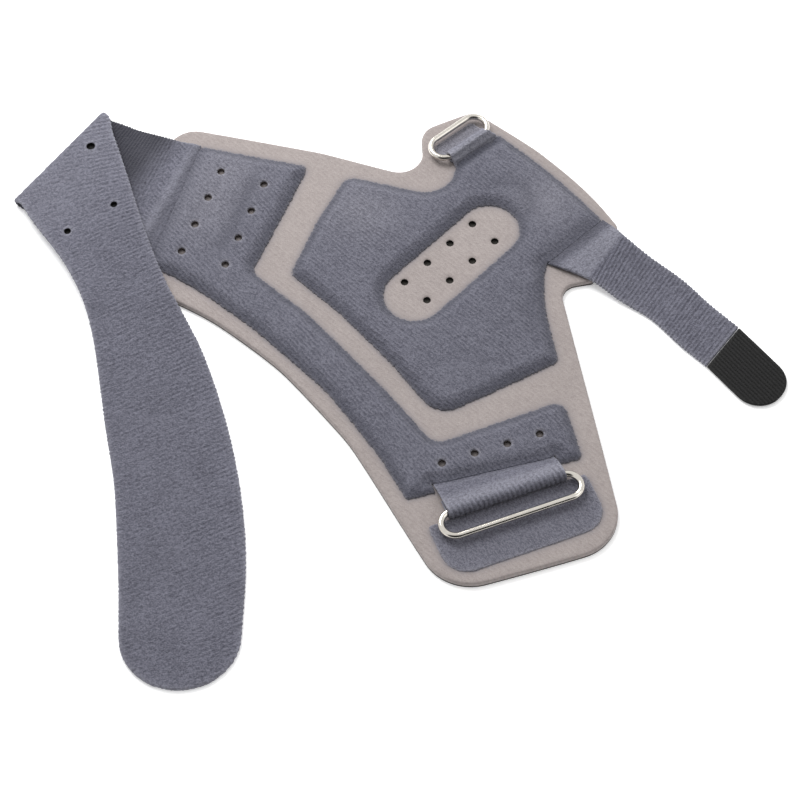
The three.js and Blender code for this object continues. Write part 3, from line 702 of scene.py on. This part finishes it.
def make_panel(name, node, turn, finish, creases, seams, glows, seed):
    """A raised panel; glows are painted pools of light on it."""
    cut = Cut(plan_rims(node), turn, KNIT_PITCH / 4, 0.8, seams=seams, fray=0.16, seed=seed)
    low = PAD_TOP - 0.1
    drop, dark = crease_marks(cut.spots, creases)
    rim = 0.5 * rounded(cut.edge, 0.9) + 0.5 * ease(cut.edge, -0.4, 1.6)
    swell = 0.6 * undulation(cut.spots, 30, seed) + 0.4 * undulation(cut.spots, 9, seed + 1)
    pressed_rim_and_shade = PAD_TOP + RIM_HEIGHT + (PRESSED_TOP - PAD_TOP - RIM_HEIGHT) * rim
    wander = 0.15 * undulation(cut.spots, 10, seed + 2)
    rise = ease(cut.edge + wander, 0.3, SHOULDER)
    crown = PANEL_TOP - PRESSED_TOP - 0.15 + 0.25 * ease(cut.edge, 3, 14)
    height = pressed_rim_and_shade + np.maximum(crown * rise - drop * rise, 0.0) + 0.13 * swell * rise
    # A darker tone in a band near the edges, and painted shade in the creases
    band = 0.95 - 0.95 * ease(cut.edge + wander, 0.7, BAND)
    painted_shade_and_dark_tone = np.maximum(band, 1.25 * dark)
    for seam in seams:
        away, _ = line_distance(cut.spots, np.array(seam["valley"]))
        form = bell(away, seam["reach"])
        height = height + (np.minimum(height, SEAM_FLOOR) - height) * form
        # Painted shade along the seam's valley
        painted_shade_and_dark_tone = np.maximum(painted_shade_and_dark_tone, seam["dark"] * bell(away, 0.9 * seam["reach"]))
        height = height - 0.5 * ease(beyond(cut.spots, seam), 0.3, 0.7)
    lip = np.exp(-cut.punch / 0.5)
    height -= 0.55 * lip
    # Painted shade at the rims of the air holes
    painted_shade_and_dark_tone = np.clip(painted_shade_and_dark_tone + 0.4 * lip, 0, 1.2)
    relief = KNIT_RELIEF * (1 - 0.4 * band) * (0.7 + 0.3 * undulation(cut.spots, 6, seed + 3))
    shift = 0.13 * undulation(cut.spots, 5, seed + 4)
    rib = cut.square / KNIT_PITCH
    height += relief * np.cos(2 * math.pi * rib) * ease(cut.edge, 0.1, 0.6)
    height += 0.03 * undulation(cut.spots, 2.2, seed + 5)
    shift *= ease(cut.edge, 0.4, 1.5) * ease(cut.punch, 0.4, 1.5)
    front = at_height(cut.spots + shift[:, None] * direction(turn + 90), height)
    back = at_height(cut.spots, np.where(cut.punch < 0.01, height - HOLE_DEPTH, low))
    # A pale fringe at the edges, a painted highlight on the air holes' rims, and painted pools of light at
    # the glows
    painted_light_and_fringe = 1.1 * np.exp(-cut.edge / 0.4) + 0.35 * bell(cut.punch - 0.4, 0.5)
    for (x, y), reach, share in glows:
        painted_light_and_fringe += share * bell(lengths(cut.spots - (x, y)), reach)
    marks = {"rib": rib, "painted_shade_and_dark_tone": painted_shade_and_dark_tone, "ribbed": 0.6 + 0.4 * swell, "painted_light_and_fringe": painted_light_and_fringe}
    panel = cloth_piece(name, cut, front, back, [finish, hole_shade_grey], marks, blind=True)
    stand_in(panel, node)


def make_patch(name, node, ring, pale):
    """A thin felt patch on the pad, which starts under the loop's nose."""
    rings = plan_rims(node)
    way, bar = direction(ring["turn"] - 90), np.array(ring["bar"][:2])
    ahead = (rings[0] - bar) @ way
    start = ahead < ahead.min() + 0.6
    rings[0] = rings[0] - np.outer(1.5 * start, way)
    cut = Cut(rings, ring["turn"], 0.7, 0.7, fray=0.07)
    low, top = PAD_TOP - 0.1, PAD_TOP + 0.4
    height = low + 0.2 + (top - low - 0.2) * rounded(cut.edge, 0.7) + 0.03 * undulation(cut.spots, 6, 5)
    front, back = at_height(cut.spots, height), at_height(cut.spots, low)
    plain = np.zeros(len(height))
    # Painted light over the whole patch, by its pale share, and a pale fringe at its edges
    marks = {"rib": plain, "painted_shade_and_dark_tone": plain, "ribbed": plain, "painted_light_and_fringe": pale + 0.7 * np.exp(-cut.edge / 0.45)}
    patch = cloth_piece(name, cut, front, back, [wrist_knit, hole_shade_black], marks)
    stand_in(patch, node)


# The straps

class Strap:
    """A band of cloth between two edges in space, with its own flat cut: run along it, across it."""

    def __init__(self, node, root):
        found = upper_rims(node)
        ring = found[0]
        foot, head = (np.array(corner) for corner in root)
        start = int(np.argmin(lengths(ring - head)))
        ring = np.roll(ring, -start, 0)
        if np.argmin(lengths(ring - foot)) > len(ring) / 2:
            ring = np.roll(ring[::-1], 1, 0)
        across = int(np.argmin(lengths(ring - foot)))
        count = (len(ring) - 2 * (across - 1)) // 2
        left = ring[across:across + count]
        right = np.concatenate([ring[:1], ring[:-count:-1]])
        middle = (left + right) / 2
        run = np.concatenate([[0], np.cumsum(lengths(np.diff(middle, axis=0)))])
        self.length = run[-1]
        self.run = np.linspace(0, self.length, int(self.length / 0.25))
        self.left, self.right = self.along(run, left), self.along(run, right)
        self.middle = (self.left + self.right) / 2
        self.width = lengths(self.right - self.left)
        forward = np.gradient(self.middle, axis=0)
        normal = np.cross(self.right - self.left, forward)
        self.normal = normal / lengths(normal)[:, None]
        top = int(np.argmax(self.middle[:, 2]))
        if self.normal[top, 2] < 0:
            self.normal = -self.normal
        under = self.normal[:, 2] < 0
        self.fold = self.run[under].max() if under[:20].all() else 0.0
        self.holes = [self.flat_of(rim.mean(0)) for rim in found[1:]]

    def along(self, run, edge):
        """An edge at evenly spaced runs, round between its stations."""
        parts = []
        tangent = np.gradient(edge, run, axis=0)
        for i in range(len(run) - 1):
            inside = (self.run >= run[i]) & ((self.run < run[i + 1]) | (i == len(run) - 2))
            gap = run[i + 1] - run[i]
            t = (self.run[inside] - run[i]) / gap
            parts.append(hermite(edge[i], tangent[i] * gap, edge[i + 1], tangent[i + 1] * gap, t))
        return np.concatenate(parts)

    def flat_of(self, point):
        """Where a point of the band lies on its cut."""
        side = self.right - self.left
        t = ((point - self.left) * side).sum(1) / (side * side).sum(1)
        away = lengths(self.left + t[:, None] * side - point)
        nearest = int(np.argmin(lengths(self.middle - point)))
        away[np.abs(np.arange(len(t)) - nearest) > 160] = np.inf
        k = int(np.argmin(away))
        return self.run[k], (t[k] - 0.5) * self.width[k]

    def phase(self, spots):
        """Ribs counted along the band: straight across it below its fold, and slanting above."""
        across = spots[:, 0] / STRAP_PITCH
        place = self.place(spots, np.zeros(len(spots)))
        slant = ease(place[:, 1], 95, 55) if self.fold else np.zeros(len(spots))
        way = math.radians(UPPER_RIBS)
        upper = -(math.cos(way) * place[:, 1] - math.sin(way) * (0.4 + 0.6 * slant) * (place[:, 0] + 112))
        return np.where((spots[:, 0] > self.fold) & (self.fold > 0), upper / UPPER_PITCH, across)

    def rib_spots(self, column_step):
        """A lattice on the cut with four rows to each rib."""
        found = []
        widest = self.width.max() / 2
        for k in range(math.floor(-widest / column_step), math.ceil(widest / column_step) + 1):
            inside = np.abs(k * column_step) < self.width / 2 - 0.5
            spots = np.column_stack([self.run[inside], np.full(inside.sum(), k * column_step)])
            if len(spots) < 2:
                continue
            quarter = 4 * self.phase(spots) + 0.5 * (k % 2)
            level = np.floor(quarter)
            at = np.nonzero(np.diff(level))[0]
            edge = np.maximum(level[at], level[at + 1])
            share = np.clip((edge - quarter[at]) / (quarter[at + 1] - quarter[at]), 0, 1)
            run = spots[at, 0] + share * (spots[at + 1, 0] - spots[at, 0])
            found.append(np.column_stack([run, np.full(len(run), k * column_step)]))
        found = np.concatenate(found)
        for hole in self.holes:
            found = found[lengths(found - hole) > 2]
        return found

    def square_steps(self, spot):
        """Steps on the cut that are square to each other and 1 mm long in space."""
        near = np.array([spot, np.add(spot, (0.5, 0)), np.add(spot, (0, 0.5))])
        place = self.place(near, np.zeros(3))
        slope = np.column_stack([place[1] - place[0], place[2] - place[0]]) / 0.5
        first = slope[:, 0] / np.linalg.norm(slope[:, 0])
        second = slope[:, 1] - (slope[:, 1] @ first) * first
        back = np.linalg.pinv(slope)
        return np.stack([back @ first, back @ second / np.linalg.norm(second)])

    def cut(self, column_step, seed):
        step = max(1, len(self.run) // 220)
        ids = np.unique(np.append(np.arange(0, len(self.run), step), len(self.run) - 1))
        half = self.width[ids] / 2
        near, far = np.column_stack([self.run[ids], -half]), np.column_stack([self.run[ids], half])
        rings = [np.concatenate([near, far[::-1]])]
        root = {"line": [(0, -half[0]), (0, half[0])]}
        spokes = np.linspace(0, 2 * math.pi, 24, endpoint=False)
        for hole in self.holes:
            radius = 1.65 if hole[0] < self.fold + 12 else 1.3
            circle = radius * np.column_stack([np.cos(spokes), np.sin(spokes)])
            rings.append(hole + circle @ self.square_steps(hole))
        return Cut(rings, 90, STRAP_PITCH / 4, column_step, steps=(0.12, 0.35, 0.75), spacing=0.4,
                   lattice=self.rib_spots(column_step), seams=[root], tuck=0.0, fray=0.07, seed=seed)

    def at(self, spots, values):
        return np.column_stack([np.interp(spots[:, 0], self.run, column) for column in values.T])

    def place(self, spots, out):
        """Spots of the cut in space, moved outward from the band's outer face."""
        width = np.interp(spots[:, 0], self.run, self.width)
        share = (spots[:, 1] / width + 0.5)[:, None]
        flat = (1 - share) * self.at(spots, self.left) + share * self.at(spots, self.right)
        normal = self.at(spots, self.normal)
        return flat + out[:, None] * normal / lengths(normal)[:, None]


def make_strap(name, strap, node, column_step, seed, root, smooth_run=None, seam=None):
    """A band whose root lies in a valley: root gives the valley's depth and the ridge's height.

    A strap that doesn't fold is smooth up to smooth_run and takes its valley from its panel's seam."""
    cut = strap.cut(column_step, seed)
    near = np.minimum(cut.edge, cut.punch + 0.25)
    rim = 0.35 + 0.65 * rounded(near, 0.75)
    run, across = cut.spots[:, 0], cut.spots[:, 1]
    folded = strap.fold > 0
    upper = (run > strap.fold) & folded
    plan = strap.place(cut.spots, np.zeros(len(run)))[:, :2]
    rib = strap.phase(cut.spots)
    broken = 0.3 + 0.35 * undulation(cut.spots, 7, seed) + 0.3 * undulation(cut.spots, 2.6, seed + 1)
    broken += 0.6 * ease(across, -0.1 * strap.width.max(), strap.width.max() / 2)
    broken *= 1 - 0.4 * ease(run, strap.fold + 40, strap.fold + 110)
    ribbed = np.clip(np.where(upper, broken, 0.8 + 0.2 * broken), 0, 1.3)
    smooth = (run < WRIST_SMOOTH) & folded
    if folded:
        valley = np.maximum(bell(run - np.clip(1.5 - 0.07 * across, 0, 5), 2.1), bell(run, 2.6))
        ridge = bell(run - 4.4 + 0.09 * across, 2.3)
        comb = 1.3 * bell(run - 8.0 + 0.03 * across, 1.5) * ease(WRIST_SMOOTH - 0.1 - run, 0, 1)
        rib = np.where(smooth, plan @ direction(WRIST_RIBS + 90) / 1.45, rib)
        soft = 0.65 + 0.35 * (run > strap.fold)
        ribbed = np.where(smooth, comb, soft * ribbed * ease(run, WRIST_SMOOTH, 12))
    else:
        away, _ = line_distance(plan, np.array(seam["valley"]))
        valley, ridge = bell(away, seam["reach"]), bell(away - 6.5, 3)
        start = smooth_run + 0.15 * across
        ribbed = ribbed * ease(run, start - 0.4, start + 0.4) * (0.8 + 0.4 * bell(run - start, 5))
    relief = STRAP_RELIEF * np.clip(ribbed, 0, 1.5) * ease(near, 0.1, 0.7) * ~smooth
    fuzz = 0.045 * undulation(cut.spots, 3.2, seed + 2) + 0.04 * undulation(cut.spots, 1.5, seed + 4)
    crest = np.cos(2 * math.pi * rib)
    wave = relief * crest + fuzz * ease(near, 0, 0.6) - 0.5 * relief
    half = STRAP_THICKNESS / 2
    lift = root[1] * ridge - root[0] * valley - 0.2 * np.exp(-run / 0.25)
    front_lift, back_lift = (0, lift) if folded else (lift, 0)
    teeth = 0.25 * crest * np.sign(across) * np.exp(-cut.edge / 0.5) * np.clip(ribbed, 0, 1) * (run > 12)
    spots = cut.spots + np.outer(teeth, (0, 1))
    front = strap.place(spots, -half + half * rim + wave + front_lift)
    back = strap.place(spots, -half - half * rim - wave - back_lift)
    lip = np.exp(-cut.punch / 0.5)
    # Painted shade at the air holes' rims and in the valley at the root, with a random darker tone
    dark = 0.45 if folded else 0.8
    painted_shade_and_dark_tone = 0.5 * lip + 0.1 * undulation(cut.spots, 22, seed + 3) + dark * valley
    # A pale fringe at the edges, and a painted highlight on the ridge by the root and on the air holes' rims
    painted_light_and_fringe = 0.6 * np.exp(-cut.edge / 0.7) + 0.3 * ridge + 0.35 * bell(cut.punch - 0.5, 0.5)
    if folded:
        # Painted shadow on the layer under the fold, and painted light on the upper layer just past it
        painted_shade_and_dark_tone += 1.5 * ease(run, 8 - 0.12 * across, 24 - 0.12 * across) * (run < strap.fold)
        painted_light_and_fringe += 0.12 * bell(run - strap.fold - 8, 22) * upper
    else:
        # No pale fringe near the root, and paler on the smooth zone before the ribs, away from the seam
        painted_light_and_fringe = painted_light_and_fringe * ease(run, 4, 14) + 0.4 * ease(start - run, 0, 2) * ease(away, 2.5, 6.5)
    marks = {"rib": rib, "painted_shade_and_dark_tone": painted_shade_and_dark_tone, "ribbed": ribbed, "painted_light_and_fringe": painted_light_and_fringe}
    looks = [strap_knit, hole_shade_black]
    piece = cloth_piece(name, cut, front, back, looks, marks, full_back=True, blind=True)
    places = np.zeros(len(piece.data.vertices) * 3)
    piece.data.vertices.foreach_get("co", places)
    places[2::3] = np.maximum(places[2::3], 0.0)
    piece.data.vertices.foreach_set("co", places)
    piece.data.update()
    area = abs(area_of(cut.rings[0])) * MM * MM
    stand_in(piece, node)


# The rings and their loops

def ring_place(ring, along, ahead, height):
    way, front = direction(ring["turn"]), direction(ring["turn"] - 90)
    bar = np.array(ring["bar"])
    along, ahead = np.broadcast_arrays(along, ahead)
    flat = bar[:2] + along[..., None] * way + ahead[..., None] * front
    return np.concatenate([flat, (bar[2] + np.broadcast_to(height, along.shape))[..., None]], -1)


def tube_faces(rows, columns, closed_rows=True):
    faces = []
    for i in range(rows if closed_rows else rows - 1):
        k = (i + 1) % rows
        for j in range(columns):
            n = (j + 1) % columns
            faces.append((i * columns + j, k * columns + j, k * columns + n, i * columns + n))
    return faces


def make_ring(name, ring, body):
    sides, arc_parts, straight_parts = 28, 40, 24
    half, radius = ring["straight"] / 2, ring["spacing"] / 2
    path = []
    for end in (1, -1):
        for k in range(arc_parts):
            angle = math.pi * (k / arc_parts - 0.5)
            path.append((end * (half + radius * math.cos(angle)), radius + end * radius * math.sin(angle),
                         end * math.cos(angle), end * math.sin(angle)))
        for k in range(straight_parts):
            share = k / straight_parts
            path.append((end * half * (1 - 2 * share), radius + end * radius, 0.0, float(end)))
    path = np.array(path)
    turn = np.linspace(0, 2 * math.pi, sides, endpoint=False)
    out, up = np.cos(turn) * ring["wire"] / 2, np.sin(turn) * ring["wire"] / 2
    along = path[:, 0:1] + path[:, 2:3] * out
    ahead = path[:, 1:2] + path[:, 3:4] * out
    points = ring_place(ring, along, ahead, np.broadcast_to(up, along.shape)).reshape(-1, 3)
    piece = make_piece(name, points, tube_faces(len(path), sides), [nickel])
    fix_normals(piece)
    stand_in(piece, body, body)


def fix_normals(piece):
    shell = bmesh.new()
    shell.from_mesh(piece.data)
    bmesh.ops.remove_doubles(shell, verts=shell.verts, dist=1e-7)
    bmesh.ops.recalc_face_normals(shell, faces=shell.faces)
    shell.to_mesh(piece.data)
    shell.free()


def both_sides(values):
    """Values of the outer face, then the same backwards for the inner face."""
    return np.concatenate([values, values[:, ::-1]], 1)


def make_loop(name, ring, node, ribs, seed):
    """A loop's cloth: columns from its root over the ring's bar and back under it."""
    nose, half = ring["nose"], ring["loop"] / 2
    rows = int(2 * half / (LOOP_PITCH / 7))
    along = np.linspace(-half, half, rows + 1)
    share = (along + half) / (2 * half)
    backs = ring["back_left"] + (ring["back_right"] - ring["back_left"]) * share
    columns = []
    arc = np.radians(np.linspace(112, -90, 26))
    turned = [(nose * math.cos(a), nose * math.sin(a)) for a in arc]
    root = PAD_TOP + LOOP_CLOTH - ring["bar"][2]
    rise = nose - root
    shares = ((1, -1.2, -0.4), (1, -0.1, -0.08), (0.9, 0, 0.03), (0.8, 0, 0.27), (0.5, 0, 0.58),
              (0.25, -0.5, 0.83))
    for back in backs:
        start = [(-back * of_back + more, root + rise * up) for of_back, more, up in shares]
        outer = smooth_path(np.array([*start, *turned]), 0.45, corner=170, closed=False)
        columns.append(np.concatenate([outer, [(-back * 0.45, -nose + 0.05)]]))
    counts = {len(column) for column in columns}
    if len(counts) > 1:
        columns = [even_path(column, max(counts)) for column in columns]
    outer = np.stack(columns)
    slope = np.gradient(outer, axis=1)
    normal = np.stack([-slope[..., 1], slope[..., 0]], -1)
    normal /= lengths(normal)[..., None]
    fore = outer[..., 0] + backs[:, None]
    flare = ring["flare"] * ease(1 - fore / backs[:, None], -0.1, 1.0) * ease(-along, 0, half)[:, None]
    slant = math.tan(math.radians(12))
    rib = (along[:, None] - outer[..., 0] * slant) / LOOP_PITCH
    ahead = outer[..., 0]
    spots = np.stack([np.broadcast_to(along[:, None], ahead.shape), ahead], -1).reshape(-1, 2)
    swell = undulation(spots, 7, seed).reshape(ahead.shape)
    near_nose = ease(ahead, -5.0, 0.5)
    end = half - np.abs(along)
    rim = 0.45 + 0.55 * rounded(end, 0.5)
    relief = (0.03 + 0.15 * near_nose) * ribs
    wave = np.cos(2 * math.pi * rib)
    middle = outer - normal * LOOP_CLOTH / 2
    out = (LOOP_CLOTH / 2) * rim[:, None]
    front = middle + normal * (out + relief * (wave - 1) * 0.5 + 0.04 * swell)[..., None]
    inner = middle - normal * out[..., None]
    section = np.concatenate([front, inner[:, ::-1]], 1)
    sides = section.shape[1]
    wide = along[:, None] - both_sides(flare)
    placed = ring_place(ring, wide, section[..., 0], section[..., 1]).reshape(-1, 3)
    faces = tube_faces(len(along), sides, closed_rows=False)
    count = outer.shape[1]
    for base in (0, (len(along) - 1) * sides):
        for j in range(count - 1):
            faces.append((base + j, base + j + 1, base + sides - 2 - j, base + sides - 1 - j))
    # Painted shade at the loop's root and on the front of its nose
    dark = 0.3 * bell(fore, 1.8) + 0.2 * ease(ahead, 1.2, 2.6)
    # Painted light along the loop's top behind the bar, and pale fringes at its ends
    pale = ring["pale"] * bell(ahead + 2, 3) + 0.5 * np.exp(-end / 0.5)[:, None]
    placed[:, 2] = np.maximum(placed[:, 2], PAD_TOP + 0.05)
    marks = {"rib": rib, "painted_shade_and_dark_tone": dark, "ribbed": 1.4 * ribs * near_nose, "painted_light_and_fringe": pale}
    marks = {mark: both_sides(values).ravel() for mark, values in marks.items()}
    piece = make_piece(name, placed, faces, [strap_knit], None, marks)
    fix_normals(piece)
    length = float(lengths(np.diff(outer, axis=1)).sum(1).mean()) * MM
    stand_in(piece, node)


def even_path(points, count):
    """A path of a given number of points, evenly spaced."""
    run = np.concatenate([[0], np.cumsum(lengths(np.diff(points, axis=0)))])
    wanted = np.linspace(0, run[-1], count)
    return np.column_stack([np.interp(wanted, run, column) for column in points.T])


# The hook tab

def hook_nodes(finish):
    """Nodes that stand a small hook on each point, with its turn drawn from a fixed seed."""
    tree = bpy.data.node_groups.new("hooks", "GeometryNodeTree")
    for name, kind, way in (
        ("Geometry", "Geometry", "INPUT"), ("Height", "Float", "INPUT"), ("Wire", "Float", "INPUT"),
        ("Seed", "Int", "INPUT"), ("Geometry", "Geometry", "OUTPUT"),
    ):
        tree.interface.new_socket(name, in_out=way, socket_type="NodeSocket" + kind)

    def add(kind, **values):
        made = tree.nodes.new(kind)
        for key, value in values.items():
            socket = made.inputs[key.replace("_", " ")]
            if isinstance(value, bpy.types.Node):
                value = value.outputs[0]
            if isinstance(value, bpy.types.NodeSocket):
                tree.links.new(value, socket)
            else:
                socket.default_value = value
        return made

    given = tree.nodes.new("NodeGroupInput").outputs
    top = add("ShaderNodeCombineXYZ", Z=given["Height"])
    tip = add("ShaderNodeVectorMath")
    tree.links.new(top.outputs[0], tip.inputs[0])
    tip.inputs[1].default_value = (0.0003, 0, 0)
    stem = add("GeometryNodeCurvePrimitiveBezierSegment", Resolution=4, Start=(0, 0, 0),
               Start_Handle=top, End_Handle=top, End=tip)
    circle = add("GeometryNodeCurvePrimitiveCircle", Resolution=5, Radius=given["Wire"])
    body = add("GeometryNodeCurveToMesh", Curve=stem, Profile_Curve=circle, Fill_Caps=True)
    turn = tree.nodes.new("FunctionNodeRandomValue")
    turn.data_type = "FLOAT_VECTOR"
    turn.inputs[0].default_value = (-0.35, -0.35, -0.6)
    turn.inputs[1].default_value = (0.35, 0.35, 0.6)
    tree.links.new(given["Seed"], turn.inputs["Seed"])
    stand = add("GeometryNodeInstanceOnPoints", Points=given["Geometry"], Instance=body, Rotation=turn)
    real = add("GeometryNodeRealizeInstances", Geometry=stand)
    painted_light_and_fringe = add("GeometryNodeSetMaterial", Geometry=real, Material=finish)
    out = tree.nodes.new("NodeGroupOutput")
    tree.links.new(painted_light_and_fringe.outputs[0], out.inputs["Geometry"])
    return tree


def grown(name, points, tree, inputs):
    """A plain mesh made by a node tree on the given points."""
    holder = make_piece(name, points, [], [])
    step = holder.modifiers.new("grow", "NODES")
    step.node_group = tree
    sockets = {item.name: item.identifier for item in tree.interface.items_tree if item.in_out == "INPUT"}
    for key, value in inputs.items():
        step[sockets[key]] = value
    sight = bpy.context.evaluated_depsgraph_get()
    mesh = bpy.data.meshes.new_from_object(holder.evaluated_get(sight), depsgraph=sight)
    mesh.name = name
    holder.modifiers.remove(step)
    holder.data = mesh
    return holder


def make_tab():
    rings = plan_rims("hook_tab")
    low, high = (corner.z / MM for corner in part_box("hook_tab"))
    ring = rings[0]
    sides = np.roll(ring, -1, 0) - ring
    start = int(np.argmax(lengths(sides)))
    turn = math.degrees(math.atan2(sides[start, 1], sides[start, 0]))
    cut = Cut(rings, turn, HOOK_PITCH / 6, 0.5, steps=(0.1, 0.28, 0.5), spacing=0.35)
    rib = cut.square / HOOK_PITCH
    wave = np.cos(2 * math.pi * rib)
    crest = high - low - 0.25
    ridge = 0.16 * np.sign(wave) * np.abs(wave) ** 0.6
    height = low + 0.3 + (crest - 0.46) * rounded(cut.edge, 0.45) + ridge * ease(cut.edge, 0.2, 0.6)
    front, back = at_height(cut.spots, height), at_height(cut.spots, low)
    tab = cloth_piece("hook_base", cut, front, back, [hook_tape], {"rib": rib}, wall_finish=0)
    abs(area_of(cut.rings[0])) * MM * MM
    stand_in(tab, "hook_tab")
    rows = row_spots([cut.rings[0]], turn, HOOK_PITCH, 0.85)
    tree = tree_of(cut.rings[0])
    rows = rows[depths(tree, rows) > 0.7]
    feet = at_height(rows, low + crest - 0.12)
    hooks = grown("hooks", feet, hook_nodes(hook_tape), {"Height": 0.00042, "Wire": 0.0001, "Seed": 4})
    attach(hooks, "brace")


# Putting it together

def make_lining():
    """The knit lining, closed behind the air holes so that it paints the dark shade seen through them."""
    cut = Cut(plan_rims("lining")[:1], PALM_RIBS, 1.6, 1.6, steps=(0.2,), spacing=0.6)
    low, high = (corner.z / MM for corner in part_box("lining"))
    height = low + 0.3 + (high - low - 0.3) * rounded(cut.edge, 0.2)
    front, back = at_height(cut.spots, height), at_height(cut.spots, low)
    lining = cloth_piece("lining_cloth", cut, front, back, [dark_knit], {}, full_back=True, wall_finish=0)
    stand_in(lining, "lining")


make_lining()
make_pad()
# The glows are painted pools of light on each panel
make_panel("palm_cloth", "palm_panel", PALM_RIBS, palm_knit, PALM_CREASES, PALM_SEAMS,
           [((-12, 75), 14, 0.25), ((58, 80), 12, 0.25)], 11)
make_panel("wrist_cloth", "wrist_panel", WRIST_RIBS, wrist_knit, WRIST_CREASES, WRIST_SEAMS,
           [((-62, 94), 14, 0.22), ((-70, 74), 12, 0.2)], 31)
# The last number is the painted light laid over each patch
make_patch("end_cloth", "end_patch", LARGE_RING, 0.12)
make_patch("ring_cloth", "ring_patch", SMALL_RING, 0.5)
make_strap("wrist_band", Strap("wrist_strap", WRIST_ROOT), "wrist_strap",
           0.9, 51, (0.72, 0.3))
make_strap("thumb_band", Strap("thumb_strap", THUMB_ROOT), "thumb_strap",
           0.8, 71, (0.72, 0.2), 14, PALM_SEAMS[0])
make_loop("large_loop_cloth", LARGE_RING, "large_ring_loop", 1.0, 81)
make_loop("small_loop_cloth", SMALL_RING, "small_ring_loop", 0.15, 91)
make_ring("large_ring_wire", LARGE_RING, "large_ring")
make_ring("small_ring_wire", SMALL_RING, "small_ring")
make_tab()


# The studio: floor, light and camera

def make_studio():
    reach, below = 3000, -0.1
    corners = [(-reach, -reach, below), (reach, -reach, below), (reach, reach, below), (-reach, reach, below)]
    floor = make_piece("floor", corners, [(0, 1, 2, 3)], [])
    white = Finish("floor_white", 0.9)
    white.shader.inputs["Emission Color"].default_value = (1, 1, 1, 1)
    white.shader.inputs["Emission Strength"].default_value = 0.3
    white.paint(white.mix(white.noise(3, 2), colour(250, 250, 250), colour(252, 252, 252)))
    floor.data.materials.append(white.material)
    make_sky()
    for name, spot, aim, size, power in (
        ("key", (-0.25, 0.45, 0.5), (-0.02, 0.1, 0.0), 0.4, 4.2),
        ("fill", (0.9, -0.3, 0.9), (0.0, 0.0, 0.0), 0.9, 1.5),
    ):
        lamp = bpy.data.lights.new(name, "AREA")
        lamp.size, lamp.energy = size, power
        light = show(name, lamp)
        light.location = spot
        light.rotation_euler = (Vector(aim) - Vector(spot)).to_track_quat("-Z", "Y").to_euler()


def make_sky():
    """A pale room that is darker overhead in front, so that the wire rings show their form."""
    world = bpy.data.worlds.new("studio")
    world.use_nodes = True
    tree = world.node_tree
    way = tree.nodes.new("ShaderNodeTexCoord")
    toward = tree.nodes.new("ShaderNodeVectorMath")
    toward.operation = "DOT_PRODUCT"
    toward.inputs[1].default_value = (0.12, -0.88, 0.46)
    shade = tree.nodes.new("ShaderNodeMapRange")
    shade.interpolation_type = "SMOOTHSTEP"
    for key, value in {1: 0.6, 2: 0.85, 3: 0.9, 4: 0.04}.items():
        shade.inputs[key].default_value = value
    tree.links.new(way.outputs["Generated"], toward.inputs[0])
    tree.links.new(toward.outputs["Value"], shade.inputs[0])
    tree.links.new(shade.outputs[0], tree.nodes["Background"].inputs["Strength"])
    tree.nodes["Background"].inputs["Color"].default_value = (1, 1, 1, 1)
    bpy.context.scene.world = world


def make_camera():
    target, distance, elevation = Vector((0.002814, -0.00624, 0)), 1.0, math.radians(58)
    back = Vector((0, -math.cos(elevation), math.sin(elevation)))
    lens = bpy.data.cameras.new("camera")
    lens.lens, lens.sensor_width = 125, 36
    camera = show("camera", lens)
    camera.location = target + distance * back
    camera.rotation_euler = (-back).to_track_quat("-Z", "Y").to_euler()
    bpy.context.scene.camera = camera


make_studio()
make_camera()
bpy.context.scene.view_settings.view_transform = "Standard"
